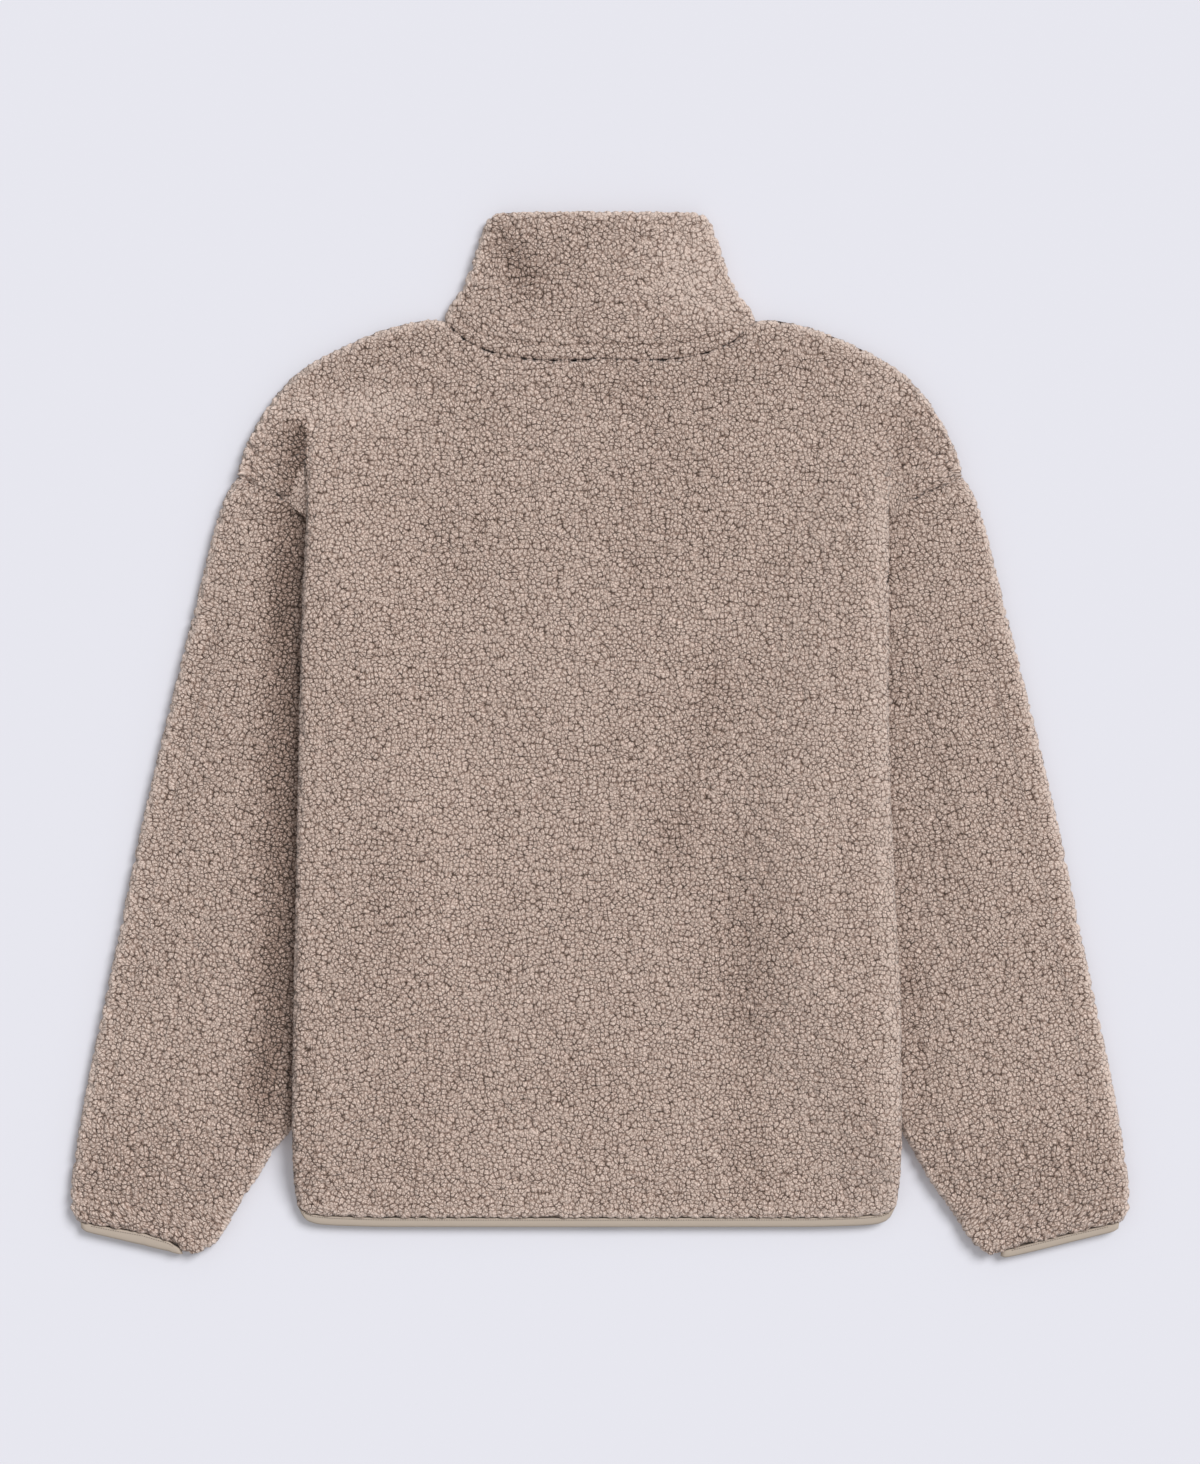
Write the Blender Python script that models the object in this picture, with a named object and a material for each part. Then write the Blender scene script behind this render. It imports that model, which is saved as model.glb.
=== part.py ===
# Boucle fleece jacket with a tall stand collar, laid flat with its back up.
# Sizes are in millimetres in the tables and are turned into metres when a point is made.
# X runs across the jacket, Y runs from the hem towards the collar, Z is up from the surface.
import math

import bmesh
import bpy
from mathutils import Vector

for old in list(bpy.data.objects):
    bpy.data.objects.remove(old, do_unlink=True)

MM = 0.001

# Cloth
WALL = 6.0
LAYER_GAP = 0.4
SEAM_GAP = 0.4
SEAM_SHIFT = 0.2
RIM = 1.0
MIDDLE = WALL + LAYER_GAP / 2
SLEEVE_SLIT = 0.6
SLEEVE_MIDDLE = WALL + SLEEVE_SLIT / 2
SEAM_DEPTH = 1.2
SEAM_REACH = 4.0
HEM_DEPTH = 2.2
HEM_REACH = 5.0

# Heights in the stack: the body rides over the sleeves that lie beneath its sides
LIFT = 2 * WALL + SLEEVE_SLIT + LAYER_GAP
LIFT_RAMP = 45.0
LIFT_MARGIN = 25.0
PLEAT_TOP_Y = 249.0
ARMHOLE_Y = 175.0
HEM_FADE_FROM = -385.0
HEM_FADE_LENGTH = 60.0
PLEAT_STEP = 5.0

# Shoulder tip, where the armhole seam meets the shoulder fold
SHOULDER_TIP_X = 283.0
SHOULDER_TIP_Y = 200.0
CAP_END_X = 281.5
NECK_SIDE_X = 121.0

# Folded side of the body: height, distance of the left fold, distance of the right fold
SIDE_FOLD = [
    (-364.0, 237.0, 231.0),
    (-344.0, 239.5, 233.0),
    (-307.0, 239.5, 234.0),
    (-207.0, 237.5, 233.0),
    (-130.0, 236.0, 229.0),
    (20.0, 233.5, 224.0),
    (175.0, 234.0, 224.0),
    (249.0, 234.0, 225.0),
]

# Upper edge: distance from the middle, height on the back, height on the front
UPPER_EDGE = [
    (0.0, 292.5, 237.0),
    (30.0, 291.0, 240.0),
    (58.0, 292.3, 251.5),
    (82.0, 297.0, 269.0),
    (102.0, 305.0, 290.5),
    (113.0, 314.0, 306.5),
    (121.0, 321.0, 321.0),
    (130.0, 322.5, 322.5),
    (153.0, 319.0, 319.0),
    (203.0, 300.0, 300.0),
    (234.0, 282.0, 282.0),
    (253.5, 263.0, 263.0),
    (266.0, 245.0, 245.0),
    (275.5, 225.5, 225.5),
    (281.5, 205.0, 205.0),
]

# Hem: share of the half width, height of the cloth edge, height of the tape's lower edge
HEM = [
    (0.0, -376.5, -385.3),
    (0.7, -376.3, -385.0),
    (0.86, -375.3, -384.0),
    (0.94, -372.5, -381.5),
    (0.98, -368.5, -378.3),
    (1.0, -364.0, -374.5),
]
HEM_CORNER_Y = -364.0
HEM_TAPE_INSET = 4.5

# Outer fold of a sleeve from shoulder tip to cuff: height, distance from the middle
SLEEVE_OUTER = [
    (200.0, 283.0),
    (182.5, 293.0),
    (104.5, 314.0),
    (-51.5, 352.6),
    (-168.5, 377.5),
    (-285.5, 401.7),
    (-340.0, 410.6),
    (-363.5, 412.6),
    (-374.0, 412.0),
    (-379.0, 407.0),
]
LINE_STEPS = 60

# Inner fold of a sleeve from underarm to cuff: height, left distance, right distance
UNDERARM_X = 179.0
UNDERARM_Y = -5.0
SLEEVE_INNER = [
    (-5.0, 179.0, 179.0),
    (-90.0, 171.0, 171.0),
    (-168.5, 177.0, 175.0),
    (-240.0, 205.0, 200.0),
    (-307.0, 239.5, 234.0),
    (-324.5, 254.3, 244.0),
    (-344.0, 266.0, 254.3),
    (-363.5, 279.2, 268.3),
    (-382.0, 289.4, 280.8),
    (-394.5, 297.5, 288.6),
    (-403.0, 309.0, 297.5),
]

# Cloth edge at the cuff from outer fold to inner fold: distance from the middle, height
CUFF_LEFT = [
    (407.0, -379.0),
    (382.0, -383.8),
    (356.5, -388.0),
    (337.0, -394.0),
    (326.0, -401.0),
    (318.0, -404.0),
    (309.0, -403.0),
]
CUFF_RIGHT = [
    (407.0, -379.0),
    (367.0, -388.4),
    (341.6, -394.7),
    (316.0, -401.3),
    (308.5, -404.3),
    (303.0, -405.0),
    (297.5, -403.0),
]

# Cuff tape: share of its length from the outer end, height of the tape left and right
CUFF_TAPE = [
    (0.0, 5.0, 5.0),
    (0.06, 8.0, 7.5),
    (0.3, 9.4, 8.0),
    (0.6, 11.0, 8.2),
    (0.85, 9.0, 7.6),
    (0.95, 5.5, 6.0),
    (1.0, 3.5, 3.5),
]
CUFF_TAPE_START = 0.02
CUFF_TAPE_END_LEFT = 0.83
CUFF_TAPE_END_RIGHT = 0.86

# Folded side of the collar from neck seam to top: height, distance from the middle
COLLAR_SIDE = [
    (321.7, 121.0),
    (328.0, 120.0),
    (338.0, 113.0),
    (356.5, 102.5),
    (375.0, 96.0),
    (394.0, 89.5),
    (401.0, 86.0),
    (405.0, 81.0),
]
# Top edge of the collar: share of the half width, height at the back, height at the front
COLLAR_TOP = [
    (0.0, 406.3, 350.0),
    (0.3, 406.3, 353.0),
    (0.6, 406.2, 368.0),
    (0.85, 405.8, 392.0),
    (1.0, 405.0, 405.0),
]
NECK_BAND_HEIGHT = 10.0
NECK_LIFT = (0.0, 0.5, 0.75)
NECK_GROOVE = 1.0

# Front zip, in a channel between the two fronts
CHANNEL_HALF = 7.0
ZIP_TAPE_INNER_X = 1.2
ZIP_TAPE_OUTER_X = 14.0
ZIP_EDGE_BAND = 2.5
ZIP_LEDGE = 14.4
ZIP_LEDGE_STEP = 0.6
SAME = 0.1
ZIP_TAPE_LOW_Z = 5.0
ZIP_TAPE_HIGH_Z = 5.9
ZIP_BOTTOM_Y = -384.0
ZIP_TOP_Y = 348.0
CHAIN_STOP = 2.0
CHAIN_HALF = 2.7
CHAIN_LOW_Z = 3.6
CHAIN_HIGH_Z = 4.7
SLIDER_Y = 338.0
SLIDER_WIDTH = 8.0
SLIDER_LENGTH = 12.0
SLIDER_LOW_Z = 2.3
SLIDER_HIGH_Z = 3.3
SLIDER_CORNER = 2.0
SLIDER_CORNER_STEPS = 3
BRIDGE_HALF_WIDTH = 1.0
BRIDGE_HALF_LENGTH = 1.9
BRIDGE_HOLE_HALF = 0.9
BRIDGE_LOW_Z = 0.2
BRIDGE_ROOT = 0.4
CUT_MARGIN = 1.0
BRIDGE_HOLE_LOW_Z = 0.85
PIVOT_Z = 1.55
PULL_HALF_WIDTH = 2.5
PULL_HALF_THICK = 0.3
PULL_LENGTH = 24.0
PULL_OPENING_HALF = 1.3
PULL_OPENING_LENGTH = 3.0

# Colours, linear, and surface finish
FLEECE_RGB = (0.434, 0.337, 0.279)
TAPE_RGB = (0.456, 0.381, 0.323)
METAL_RGB = (0.42, 0.40, 0.37)
FLEECE_ROUGHNESS = 0.95
TAPE_ROUGHNESS = 0.8
TEETH_ROUGHNESS = 0.5
METAL_ROUGHNESS = 0.4
METAL_SHARE = 0.9


# Helpers
def smooth(t):
    t = min(1.0, max(0.0, t))
    return t * t * (3.0 - 2.0 * t)


def knot_slope(rows, k, column):
    if k == 0 or k == len(rows) - 1:
        k = max(k, 1)
        return (rows[k][column] - rows[k - 1][column]) / (rows[k][0] - rows[k - 1][0])
    before = (rows[k][column] - rows[k - 1][column]) / (rows[k][0] - rows[k - 1][0])
    after = (rows[k + 1][column] - rows[k][column]) / (rows[k + 1][0] - rows[k][0])
    if before * after <= 0.0:
        return 0.0
    return 2.0 * before * after / (before + after)


def read(rows, at, column):
    """Value of one column where the first column, rising or falling, is at the given value."""
    turned = rows if rows[0][0] < rows[-1][0] else rows[::-1]
    if at <= turned[0][0]:
        return turned[0][column]
    if at >= turned[-1][0]:
        return turned[-1][column]
    k = 0
    while turned[k + 1][0] < at:
        k += 1
    span = turned[k + 1][0] - turned[k][0]
    t = (at - turned[k][0]) / span
    low = knot_slope(turned, k, column) * span
    high = knot_slope(turned, k + 1, column) * span
    return (
        turned[k][column] * (2 * t ** 3 - 3 * t ** 2 + 1)
        + low * (t ** 3 - 2 * t ** 2 + t)
        + turned[k + 1][column] * (3 * t ** 2 - 2 * t ** 3)
        + high * (t ** 3 - t ** 2)
    )


def walk(points, share):
    """Point at a share of the length of a line through flat points."""
    lengths = [math.dist(a, b) for a, b in zip(points, points[1:])]
    left = share * sum(lengths)
    for (a, b), length in zip(zip(points, points[1:]), lengths):
        if left <= length:
            t = left / length
            return (a[0] + (b[0] - a[0]) * t, a[1] + (b[1] - a[1]) * t)
        left -= length
    return points[-1]


def line_through(rows, column):
    """Smooth line of flat points, from the first row of a table to its last."""
    first = rows[0][0]
    last = rows[-1][0]
    heights = [first + (last - first) * n / LINE_STEPS for n in range(LINE_STEPS + 1)]
    return [(read(rows, y, column), y) for y in heights]


def side_column(side):
    return 1 if side < 0 else 2


def fold_x(side, y):
    return read(SIDE_FOLD, y, side_column(side))


def hidden_edge_x(side, y):
    """Edge of the sleeve that lies under the body, from the hem up to the armhole."""
    if y <= UNDERARM_Y:
        return read(SLEEVE_INNER, y, side_column(side))
    t = min(1.0, (y - UNDERARM_Y) / (ARMHOLE_Y - UNDERARM_Y))
    return UNDERARM_X + (fold_x(side, ARMHOLE_Y) - UNDERARM_X) * t


def support(x, y):
    """Height that the sleeves beneath lift the body by."""
    side = -1 if x < 0 else 1
    edge = hidden_edge_x(side, y) - LIFT_MARGIN - LIFT_RAMP
    across = smooth((abs(x) - edge) / LIFT_RAMP)
    upper = smooth((PLEAT_TOP_Y - y) / (PLEAT_TOP_Y - ARMHOLE_Y))
    lower = smooth((y - HEM_FADE_FROM) / HEM_FADE_LENGTH)
    return LIFT * across * upper * lower


def fold_fall(inset):
    """How far a rounded fold has dropped at a distance in from its edge."""
    if inset >= MIDDLE:
        return 0.0
    return MIDDLE - math.sqrt(MIDDLE ** 2 - (MIDDLE - inset) ** 2)


def seam_fall(inset, depth, reach):
    return depth * (1.0 - smooth(inset / reach))


def vertex(bm, x, y, z):
    return bm.verts.new((x * MM, y * MM, z * MM))


def linear_material(name, rgb, roughness, metallic):
    material = bpy.data.materials.new(name)
    material.use_nodes = True
    shader = material.node_tree.nodes["Principled BSDF"]
    shader.inputs["Base Color"].default_value = (*rgb, 1.0)
    shader.inputs["Roughness"].default_value = roughness
    shader.inputs["Metallic"].default_value = metallic
    material.diffuse_color = (*rgb, 1.0)
    return material


jacket = bpy.data.collections.new("boucle_fleece_jacket")
bpy.context.scene.collection.children.link(jacket)
cutters = bpy.data.collections.new("cutters")
bpy.context.scene.collection.children.link(cutters)


def finish(bm, name, rgb, roughness=FLEECE_ROUGHNESS, metallic=0.0, origin=(0.0, 0.0, 0.0)):
    bmesh.ops.recalc_face_normals(bm, faces=bm.faces[:])
    placed = Vector(origin) * MM
    bmesh.ops.translate(bm, vec=-placed, verts=bm.verts[:])
    mesh = bpy.data.meshes.new(name)
    bm.to_mesh(mesh)
    bm.free()
    made = bpy.data.objects.new(name, mesh)
    made.location = placed
    jacket.objects.link(made)
    mesh.materials.append(linear_material(name + "_mat", rgb, roughness, metallic))
    return made


def neck_line(x, face):
    """Height of the neck seam, straight between the columns of the panels."""
    knots = [k for k in NECK_KNOTS[face] if k <= x][-1:] + [k for k in NECK_KNOTS[face] if k > x][:1]
    if len(knots) == 1:
        return read(UPPER_EDGE, knots[0], face)
    low = read(UPPER_EDGE, knots[0], face)
    high = read(UPPER_EDGE, knots[1], face)
    return low + (high - low) * (x - knots[0]) / (knots[1] - knots[0])


def panel(name, plan, high, low, live):
    """Flat panel: an upper and a lower surface over the same plan, closed by a rim."""
    bm = bmesh.new()
    columns = len(plan)
    rows = len(plan[0])
    used = set()
    for i in range(columns - 1):
        for j in range(rows - 1):
            if live(i, j):
                used.update({(i, j), (i + 1, j), (i, j + 1), (i + 1, j + 1)})
    above = {}
    below = {}
    for i, j in sorted(used):
        x, y = plan[i][j]
        above[i, j] = vertex(bm, x, y, high(i, j, x, y))
        below[i, j] = vertex(bm, x, y, low(i, j, x, y))
    edges = {}
    for i in range(columns - 1):
        for j in range(rows - 1):
            if not live(i, j):
                continue
            for a, b, c in (
                ((i, j), (i + 1, j), (i + 1, j + 1)),
                ((i, j), (i + 1, j + 1), (i, j + 1)),
            ):
                bm.faces.new((above[a], above[b], above[c]))
                bm.faces.new((below[c], below[b], below[a]))
                for pair in ((a, b), (b, c), (c, a)):
                    edges[pair] = edges.get(pair, 0) + 1
    for a, b in sorted(edges):
        if (b, a) not in edges:
            bm.faces.new((above[a], below[a], below[b], above[b]))
    return finish(bm, name, FLEECE_RGB)


def band(name, outer, inner, closed, rgb, roughness=FLEECE_ROUGHNESS):
    """Tube or strip: an outer and an inner surface that run round, closed by rims at the ends."""
    bm = bmesh.new()
    rows = len(outer)
    around = len(outer[0])
    out = [[vertex(bm, *point) for point in row] for row in outer]
    inn = [[vertex(bm, *point) for point in row] for row in inner]
    for i in range(around if closed else around - 1):
        n = (i + 1) % around
        for k in range(rows - 1):
            for a, b, c in (((k, i), (k, n), (k + 1, n)), ((k, i), (k + 1, n), (k + 1, i))):
                bm.faces.new([out[r][s] for r, s in (a, b, c)])
                bm.faces.new([inn[r][s] for r, s in (c, b, a)])
        bm.faces.new((out[0][i], inn[0][i], inn[0][n], out[0][n]))
        bm.faces.new((out[-1][n], inn[-1][n], inn[-1][i], out[-1][i]))
    if not closed:
        for k in range(rows - 1):
            bm.faces.new((out[k][0], out[k + 1][0], inn[k + 1][0], inn[k][0]))
            bm.faces.new((out[k][-1], inn[k][-1], inn[k + 1][-1], out[k + 1][-1]))
    return finish(bm, name, rgb, roughness)


# Plan of the body panels: columns by share of the half width and inset from the fold
NECK_COLUMNS = (30.0, 58.0, 82.0, 102.0, 113.0, 121.0)
ZIP_COLUMNS = (CHANNEL_HALF, CHANNEL_HALF + ZIP_EDGE_BAND, ZIP_LEDGE, ZIP_LEDGE + ZIP_LEDGE_STEP)
SHARES = (0.6, 0.69, 0.78, 0.87)
EDGE_INSETS = (9.0, 4.0, 1.2, 0.0)
CAP_SHARES = (0.0, 0.35, 0.6, 0.8, 0.92, 1.0)
BODY_ROWS = (0.05, 0.1, 0.15, 0.22, 0.32, 0.44, 0.58, 0.72, 0.86, 1.0)
HEM_INSETS = (0.0, 1.5, 5.0)
UPPER_ROWS = (0.25, 0.5, 0.75)
SHORT_SPAN = 30.0

NECK_KNOTS = (
    (),
    (0.0,) + NECK_COLUMNS,
    ZIP_COLUMNS + NECK_COLUMNS,
)

half_columns = [("neck", x, 0.0) for x in NECK_COLUMNS]
half_columns += [("main", share, 0.0) for share in SHARES]
half_columns += [("main", 1.0, inset) for inset in EDGE_INSETS]
half_columns += [("cap", share, 0.0) for share in CAP_SHARES]


def upper_rows(x, y_low, face):
    """Heights from a lower line up to the upper edge, close together at the edge."""
    y_top = read(UPPER_EDGE, abs(x), face)
    scale = min(1.0, (y_top - y_low) / SHORT_SPAN)
    straight = y_top - EDGE_INSETS[0] * scale
    ys = [y_low + (straight - y_low) * share for share in UPPER_ROWS]
    return ys + [y_top - inset * scale for inset in EDGE_INSETS]


def column_plan(side, kind, share, inset, face):
    """Points of one column from the hem to the upper edge; cap columns start at the armhole."""
    points = []
    if kind == "cap":
        fold = fold_x(side, ARMHOLE_Y)
        x = fold + PLEAT_STEP + share * (CAP_END_X - fold - PLEAT_STEP)
        slope = (SHOULDER_TIP_Y - ARMHOLE_Y) / (SHOULDER_TIP_X - fold)
        y_low = ARMHOLE_Y + (x - fold) * slope
        points = [(side * x, y_low)] * (len(HEM_INSETS) + len(BODY_ROWS))
        return points + [(side * x, y) for y in upper_rows(x, y_low, face)]
    if kind == "neck":
        share = share / fold_x(side, ARMHOLE_Y)
    corner = fold_x(side, HEM_CORNER_Y)
    y_hem = read(HEM, (share * corner - inset) / corner, 1)
    ys = [y_hem + inset_y for inset_y in HEM_INSETS]
    ys += [y_hem + (ARMHOLE_Y - y_hem) * t for t in BODY_ROWS]
    points = [(side * (share * fold_x(side, y) - inset), y) for y in ys]
    x = share * fold_x(side, ARMHOLE_Y) - inset
    return points + [(side * x, y) for y in upper_rows(x, ARMHOLE_Y, face)]


LOWER_COUNT = len(HEM_INSETS) + len(BODY_ROWS)


def panel_height(kind, side, x, y, face):
    """Support beneath a point and how far its outer surface has dropped towards the edges."""
    y_top = read(UPPER_EDGE, abs(x), face)
    corner = fold_x(side, HEM_CORNER_Y)
    y_hem = read(HEM, min(1.0, abs(x) / corner), 1)
    if abs(x) >= NECK_SIDE_X:
        fall = fold_fall(max(0.0, y_top - y))
    else:
        fall = seam_fall(y_top - y, SEAM_DEPTH, SEAM_REACH)
    if kind == "cap":
        fold = fold_x(side, ARMHOLE_Y)
        slope = (SHOULDER_TIP_Y - ARMHOLE_Y) / (SHOULDER_TIP_X - fold)
        fall += seam_fall(y - ARMHOLE_Y - (abs(x) - fold) * slope, SEAM_DEPTH, SEAM_REACH)
        return 0.0, min(fall, WALL - RIM)
    beside = smooth((PLEAT_TOP_Y - y) / (PLEAT_TOP_Y - ARMHOLE_Y))
    fall += beside * fold_fall(max(0.0, fold_x(side, y) - abs(x)))
    fall += seam_fall(y - y_hem, HEM_DEPTH, HEM_REACH)
    return support(x, y), min(fall, WALL - RIM)


def body_panel(name, columns, face, thin_edge=False):
    plan = []
    kinds = []
    for side, kind, share, inset in columns:
        if kind == "zip":
            ys = column_plan(side, "main", share / fold_x(side, 0.0), 0.0, face)
            plan.append([(side * share, y) for _, y in ys])
        else:
            plan.append(column_plan(side, kind, share, inset, face))
        kinds.append((kind, side, share))

    def high(i, j, x, y):
        kind, side, share = kinds[i]
        lift, fall = panel_height(kind, side, x, y, face)
        if face == 1:
            return lift + 2 * WALL + LAYER_GAP - fall
        if kind == "zip" and share < ZIP_LEDGE + SAME:
            return ZIP_TAPE_LOW_Z - LAYER_GAP
        return lift + WALL

    def low(i, j, x, y):
        kind, side, share = kinds[i]
        lift, fall = panel_height(kind, side, x, y, face)
        if face == 1:
            return lift + WALL + LAYER_GAP
        if kind == "zip":
            fall = max(fall, seam_fall(share - CHANNEL_HALF, SEAM_DEPTH, SEAM_REACH))
        return lift + fall

    def live(i, j):
        caps = kinds[i][0] == "cap" or kinds[i + 1][0] == "cap"
        return j >= LOWER_COUNT - 1 or not caps

    return panel(name, plan, high, low, live)


# Back: one panel from hem to neck seam, with the dropped shoulders out to the shoulder tips
left_half = [(-1, *column) for column in reversed(half_columns)]
right_half = [(1, *column) for column in half_columns]
body_panel("back", left_half + [(1, "main", 0.0, 0.0)] + right_half, 1)

# Fronts: face down, with the zip channel between them and a ledge for the zip tape
zip_columns = [("zip", x, 0.0) for x in ZIP_COLUMNS]
front_left_columns = left_half + [(-1, *column) for column in reversed(zip_columns)]
front_right_columns = [(1, *column) for column in zip_columns] + right_half
body_panel("front_left", front_left_columns, 2)
body_panel("front_right", front_right_columns, 2)

# Sleeves: flattened tubes; each row of the table near a fold gives the outer and inner inset
# and the share of the rise of the outer and inner surface there
TUBE_EDGE = [
    (0.0, 0.0, 0.0, 0.0),
    (0.8, 0.1, 0.49, 0.5),
    (3.0, 0.6, 0.85, 1.0),
    (6.3, 2.5, 1.0, 1.0),
]
TUBE_INNER_SHARES = (0.0, 0.2, 0.4, 0.6, 0.8, 1.0)
TUBE_STRAIGHT = 14.0
SLEEVE_ROWS = (0.0, 0.006, 0.03, 0.1, 0.2, 0.3, 0.42, 0.54, 0.66, 0.78, 0.88, 0.94, 0.975, 1.0)
ARMHOLE_FALL = 1.2
CUFF_FALLS = (0.4, 2.2)
WIDTH_STEPS = 12
SLEEVE_BULGE = 3.0
ARMHOLE_TUCK = 9.0
BULGE_REACH = 40.0
BULGE_CLEAR = 10.0
BULGE_LOW_Y = -375.0


def tube_stations(width, wall):
    """Outer inset, inner inset, outer rise and inner rise for the columns across a flat tube."""
    scale = min(1.0, width / (3.0 * TUBE_STRAIGHT))
    near = [(o * scale, (wall + i) * scale, ro, ri) for o, i, ro, ri in TUBE_EDGE]
    first = TUBE_STRAIGHT * scale
    middle = [first + (width - 2 * first) * share for share in TUBE_INNER_SHARES]
    stations = near + [(x, x, 1.0, 1.0) for x in middle]
    return stations + [(width - o, width - i, ro, ri) for o, i, ro, ri in reversed(near)]


def row_widths(plan, count):
    """Width of a flat tube at each of its rows."""
    widths = []
    for k in range(count):
        line = [plan(n / WIDTH_STEPS, k) for n in range(WIDTH_STEPS + 1)]
        widths.append(sum(math.dist(a, b) for a, b in zip(line, line[1:])))
    return widths


def tube_rows(plan, count, widths, wall, middle, out_half, in_half):
    """Outer and inner rings of a flat tube; plan gives a flat point for a share and a row."""
    outer = []
    inner = []
    for k in range(count):
        width = widths[k]
        stations = tube_stations(width, wall)
        ring_out = []
        ring_in = []
        order = [(station, 1.0) for station in stations]
        order += [(station, -1.0) for station in stations[-2:0:-1]]
        for (o, i, rise_out, rise_in), way in order:
            x, y = plan(o / width, k)
            ring_out.append((x, y, middle + way * rise_out * out_half(k, x, y, o, width, way)))
            x, y = plan(i / width, k)
            ring_in.append((x, y, middle + way * rise_in * in_half(k, x, y, i, width, way)))
        outer.append(ring_out)
        inner.append(ring_in)
    return outer, inner


def coons(share, t, outer_at, inner_at, start_at, end_at):
    """Flat point of a patch held by four boundary lines."""
    a = outer_at(t)
    b = inner_at(t)
    c = start_at(share)
    d = end_at(share)
    p00 = outer_at(0.0)
    p01 = outer_at(1.0)
    p10 = inner_at(0.0)
    p11 = inner_at(1.0)
    point = []
    for n in range(2):
        blend = (1 - share) * a[n] + share * b[n] + (1 - t) * c[n] + t * d[n]
        corners = (1 - share) * ((1 - t) * p00[n] + t * p01[n])
        corners += share * ((1 - t) * p10[n] + t * p11[n])
        point.append(blend - corners)
    return point


def sleeve_lines(side):
    """Outer fold, inner fold, armhole and cuff of one sleeve, each as flat points."""
    outer = line_through(SLEEVE_OUTER, 1)
    inner = line_through(SLEEVE_INNER, side_column(side))
    outer[0] = (SHOULDER_TIP_X + SEAM_SHIFT, SHOULDER_TIP_Y - SEAM_GAP)
    fold = fold_x(side, ARMHOLE_Y)
    slope = (SHOULDER_TIP_Y - ARMHOLE_Y) / (SHOULDER_TIP_X - fold)
    tuck = (fold + SEAM_SHIFT - ARMHOLE_TUCK, ARMHOLE_Y - SEAM_GAP - ARMHOLE_TUCK * slope)
    armhole = [outer[0], tuck, inner[0]]
    cuff = CUFF_LEFT if side < 0 else CUFF_RIGHT
    return outer, inner, armhole, cuff


def sleeve_plan(side, share, t):
    outer, inner, armhole, cuff = sleeve_lines(side)
    x, y = coons(
        share,
        t,
        lambda at: walk(outer, at),
        lambda at: walk(inner, at),
        lambda at: walk(armhole, at),
        lambda at: walk(cuff, at),
    )
    return side * x, y


def sleeve(name, side):
    def plan(share, k):
        return sleeve_plan(side, share, SLEEVE_ROWS[k])

    widths = row_widths(plan, len(SLEEVE_ROWS))

    def bulge(x, y, inset, width):
        clear = smooth((abs(x) - fold_x(side, y) - BULGE_CLEAR) / BULGE_REACH)
        across = smooth(min(inset, width - inset) / BULGE_REACH)
        along = smooth((SHOULDER_TIP_Y - y) / BULGE_REACH) * smooth((y - BULGE_LOW_Y) / BULGE_REACH)
        return SLEEVE_BULGE * clear * across * along

    last = len(SLEEVE_ROWS) - 1
    ends = {0: ARMHOLE_FALL, last - 1: CUFF_FALLS[0], last: CUFF_FALLS[1]}

    def out_half(k, x, y, inset, width, way):
        rise = bulge(x, y, inset, width) if way > 0 else 0.0
        return SLEEVE_MIDDLE - ends.get(k, 0.0) + rise

    def in_half(k, x, y, inset, width, way):
        rise = bulge(x, y, inset, width) if way > 0 else 0.0
        return SLEEVE_SLIT / 2 + rise

    rings = tube_rows(plan, len(SLEEVE_ROWS), widths, WALL, SLEEVE_MIDDLE, out_half, in_half)
    return band(name, *rings, True, FLEECE_RGB)


sleeve("sleeve_left", -1)
sleeve("sleeve_right", 1)

# Cuff tapes: stretch tape round the raw end of each sleeve
TAPE_ROWS = (0.0, 0.12, 0.5, 0.85, 1.0)
TAPE_HALVES = (3.4, 3.8, 3.9, 3.4, 2.4)
TAPE_SLIT_HALF = 0.3
TAPE_WALL = 3.2
CUFF_TAPE_LEAN = 0.14


def cuff_tape(name, side):
    cuff = CUFF_LEFT if side < 0 else CUFF_RIGHT
    last = CUFF_TAPE_END_LEFT if side < 0 else CUFF_TAPE_END_RIGHT

    def plan(share, k):
        x, y = walk(cuff, CUFF_TAPE_START + share * (last - CUFF_TAPE_START))
        x -= SEAM_SHIFT / 2
        y -= SEAM_GAP + SEAM_SHIFT / 2
        down = read(CUFF_TAPE, share, side_column(side)) * TAPE_ROWS[k]
        return side * (x - down * CUFF_TAPE_LEAN), y - down

    widths = row_widths(plan, len(TAPE_ROWS))

    def out_half(k, x, y, inset, width, way):
        return TAPE_HALVES[k]

    def in_half(k, x, y, inset, width, way):
        return TAPE_SLIT_HALF

    rings = tube_rows(
        plan, len(TAPE_ROWS), widths, TAPE_WALL, SLEEVE_MIDDLE, out_half, in_half
    )
    return band(name, *rings, True, TAPE_RGB, TAPE_ROUGHNESS)


cuff_tape("cuff_binding_left", -1)
cuff_tape("cuff_binding_right", 1)

# Hem tape: from the zip round one side, along the back and round the other side to the zip
HEM_FOLD_EDGE = [
    (0.0, 0.0, 0.0, 0.0),
    (1.2, 0.2, 0.6, 0.7),
    (4.0, 1.6, 0.92, 1.0),
    (9.0, 6.0, 1.0, 1.0),
]


def hem_point(side, share, inset, t):
    """Flat point of the hem tape below the cloth edge; t runs from the cloth down the tape."""
    corner = fold_x(side, HEM_CORNER_Y)
    x_high = share * corner - inset
    x_low = share * (corner - HEM_TAPE_INSET) - inset
    y_high = read(HEM, x_high / corner, 1) - SEAM_GAP
    y_low = read(HEM, x_high / corner, 2)
    return side * (x_high + (x_low - x_high) * t), y_high + (y_low - y_high) * t


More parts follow.
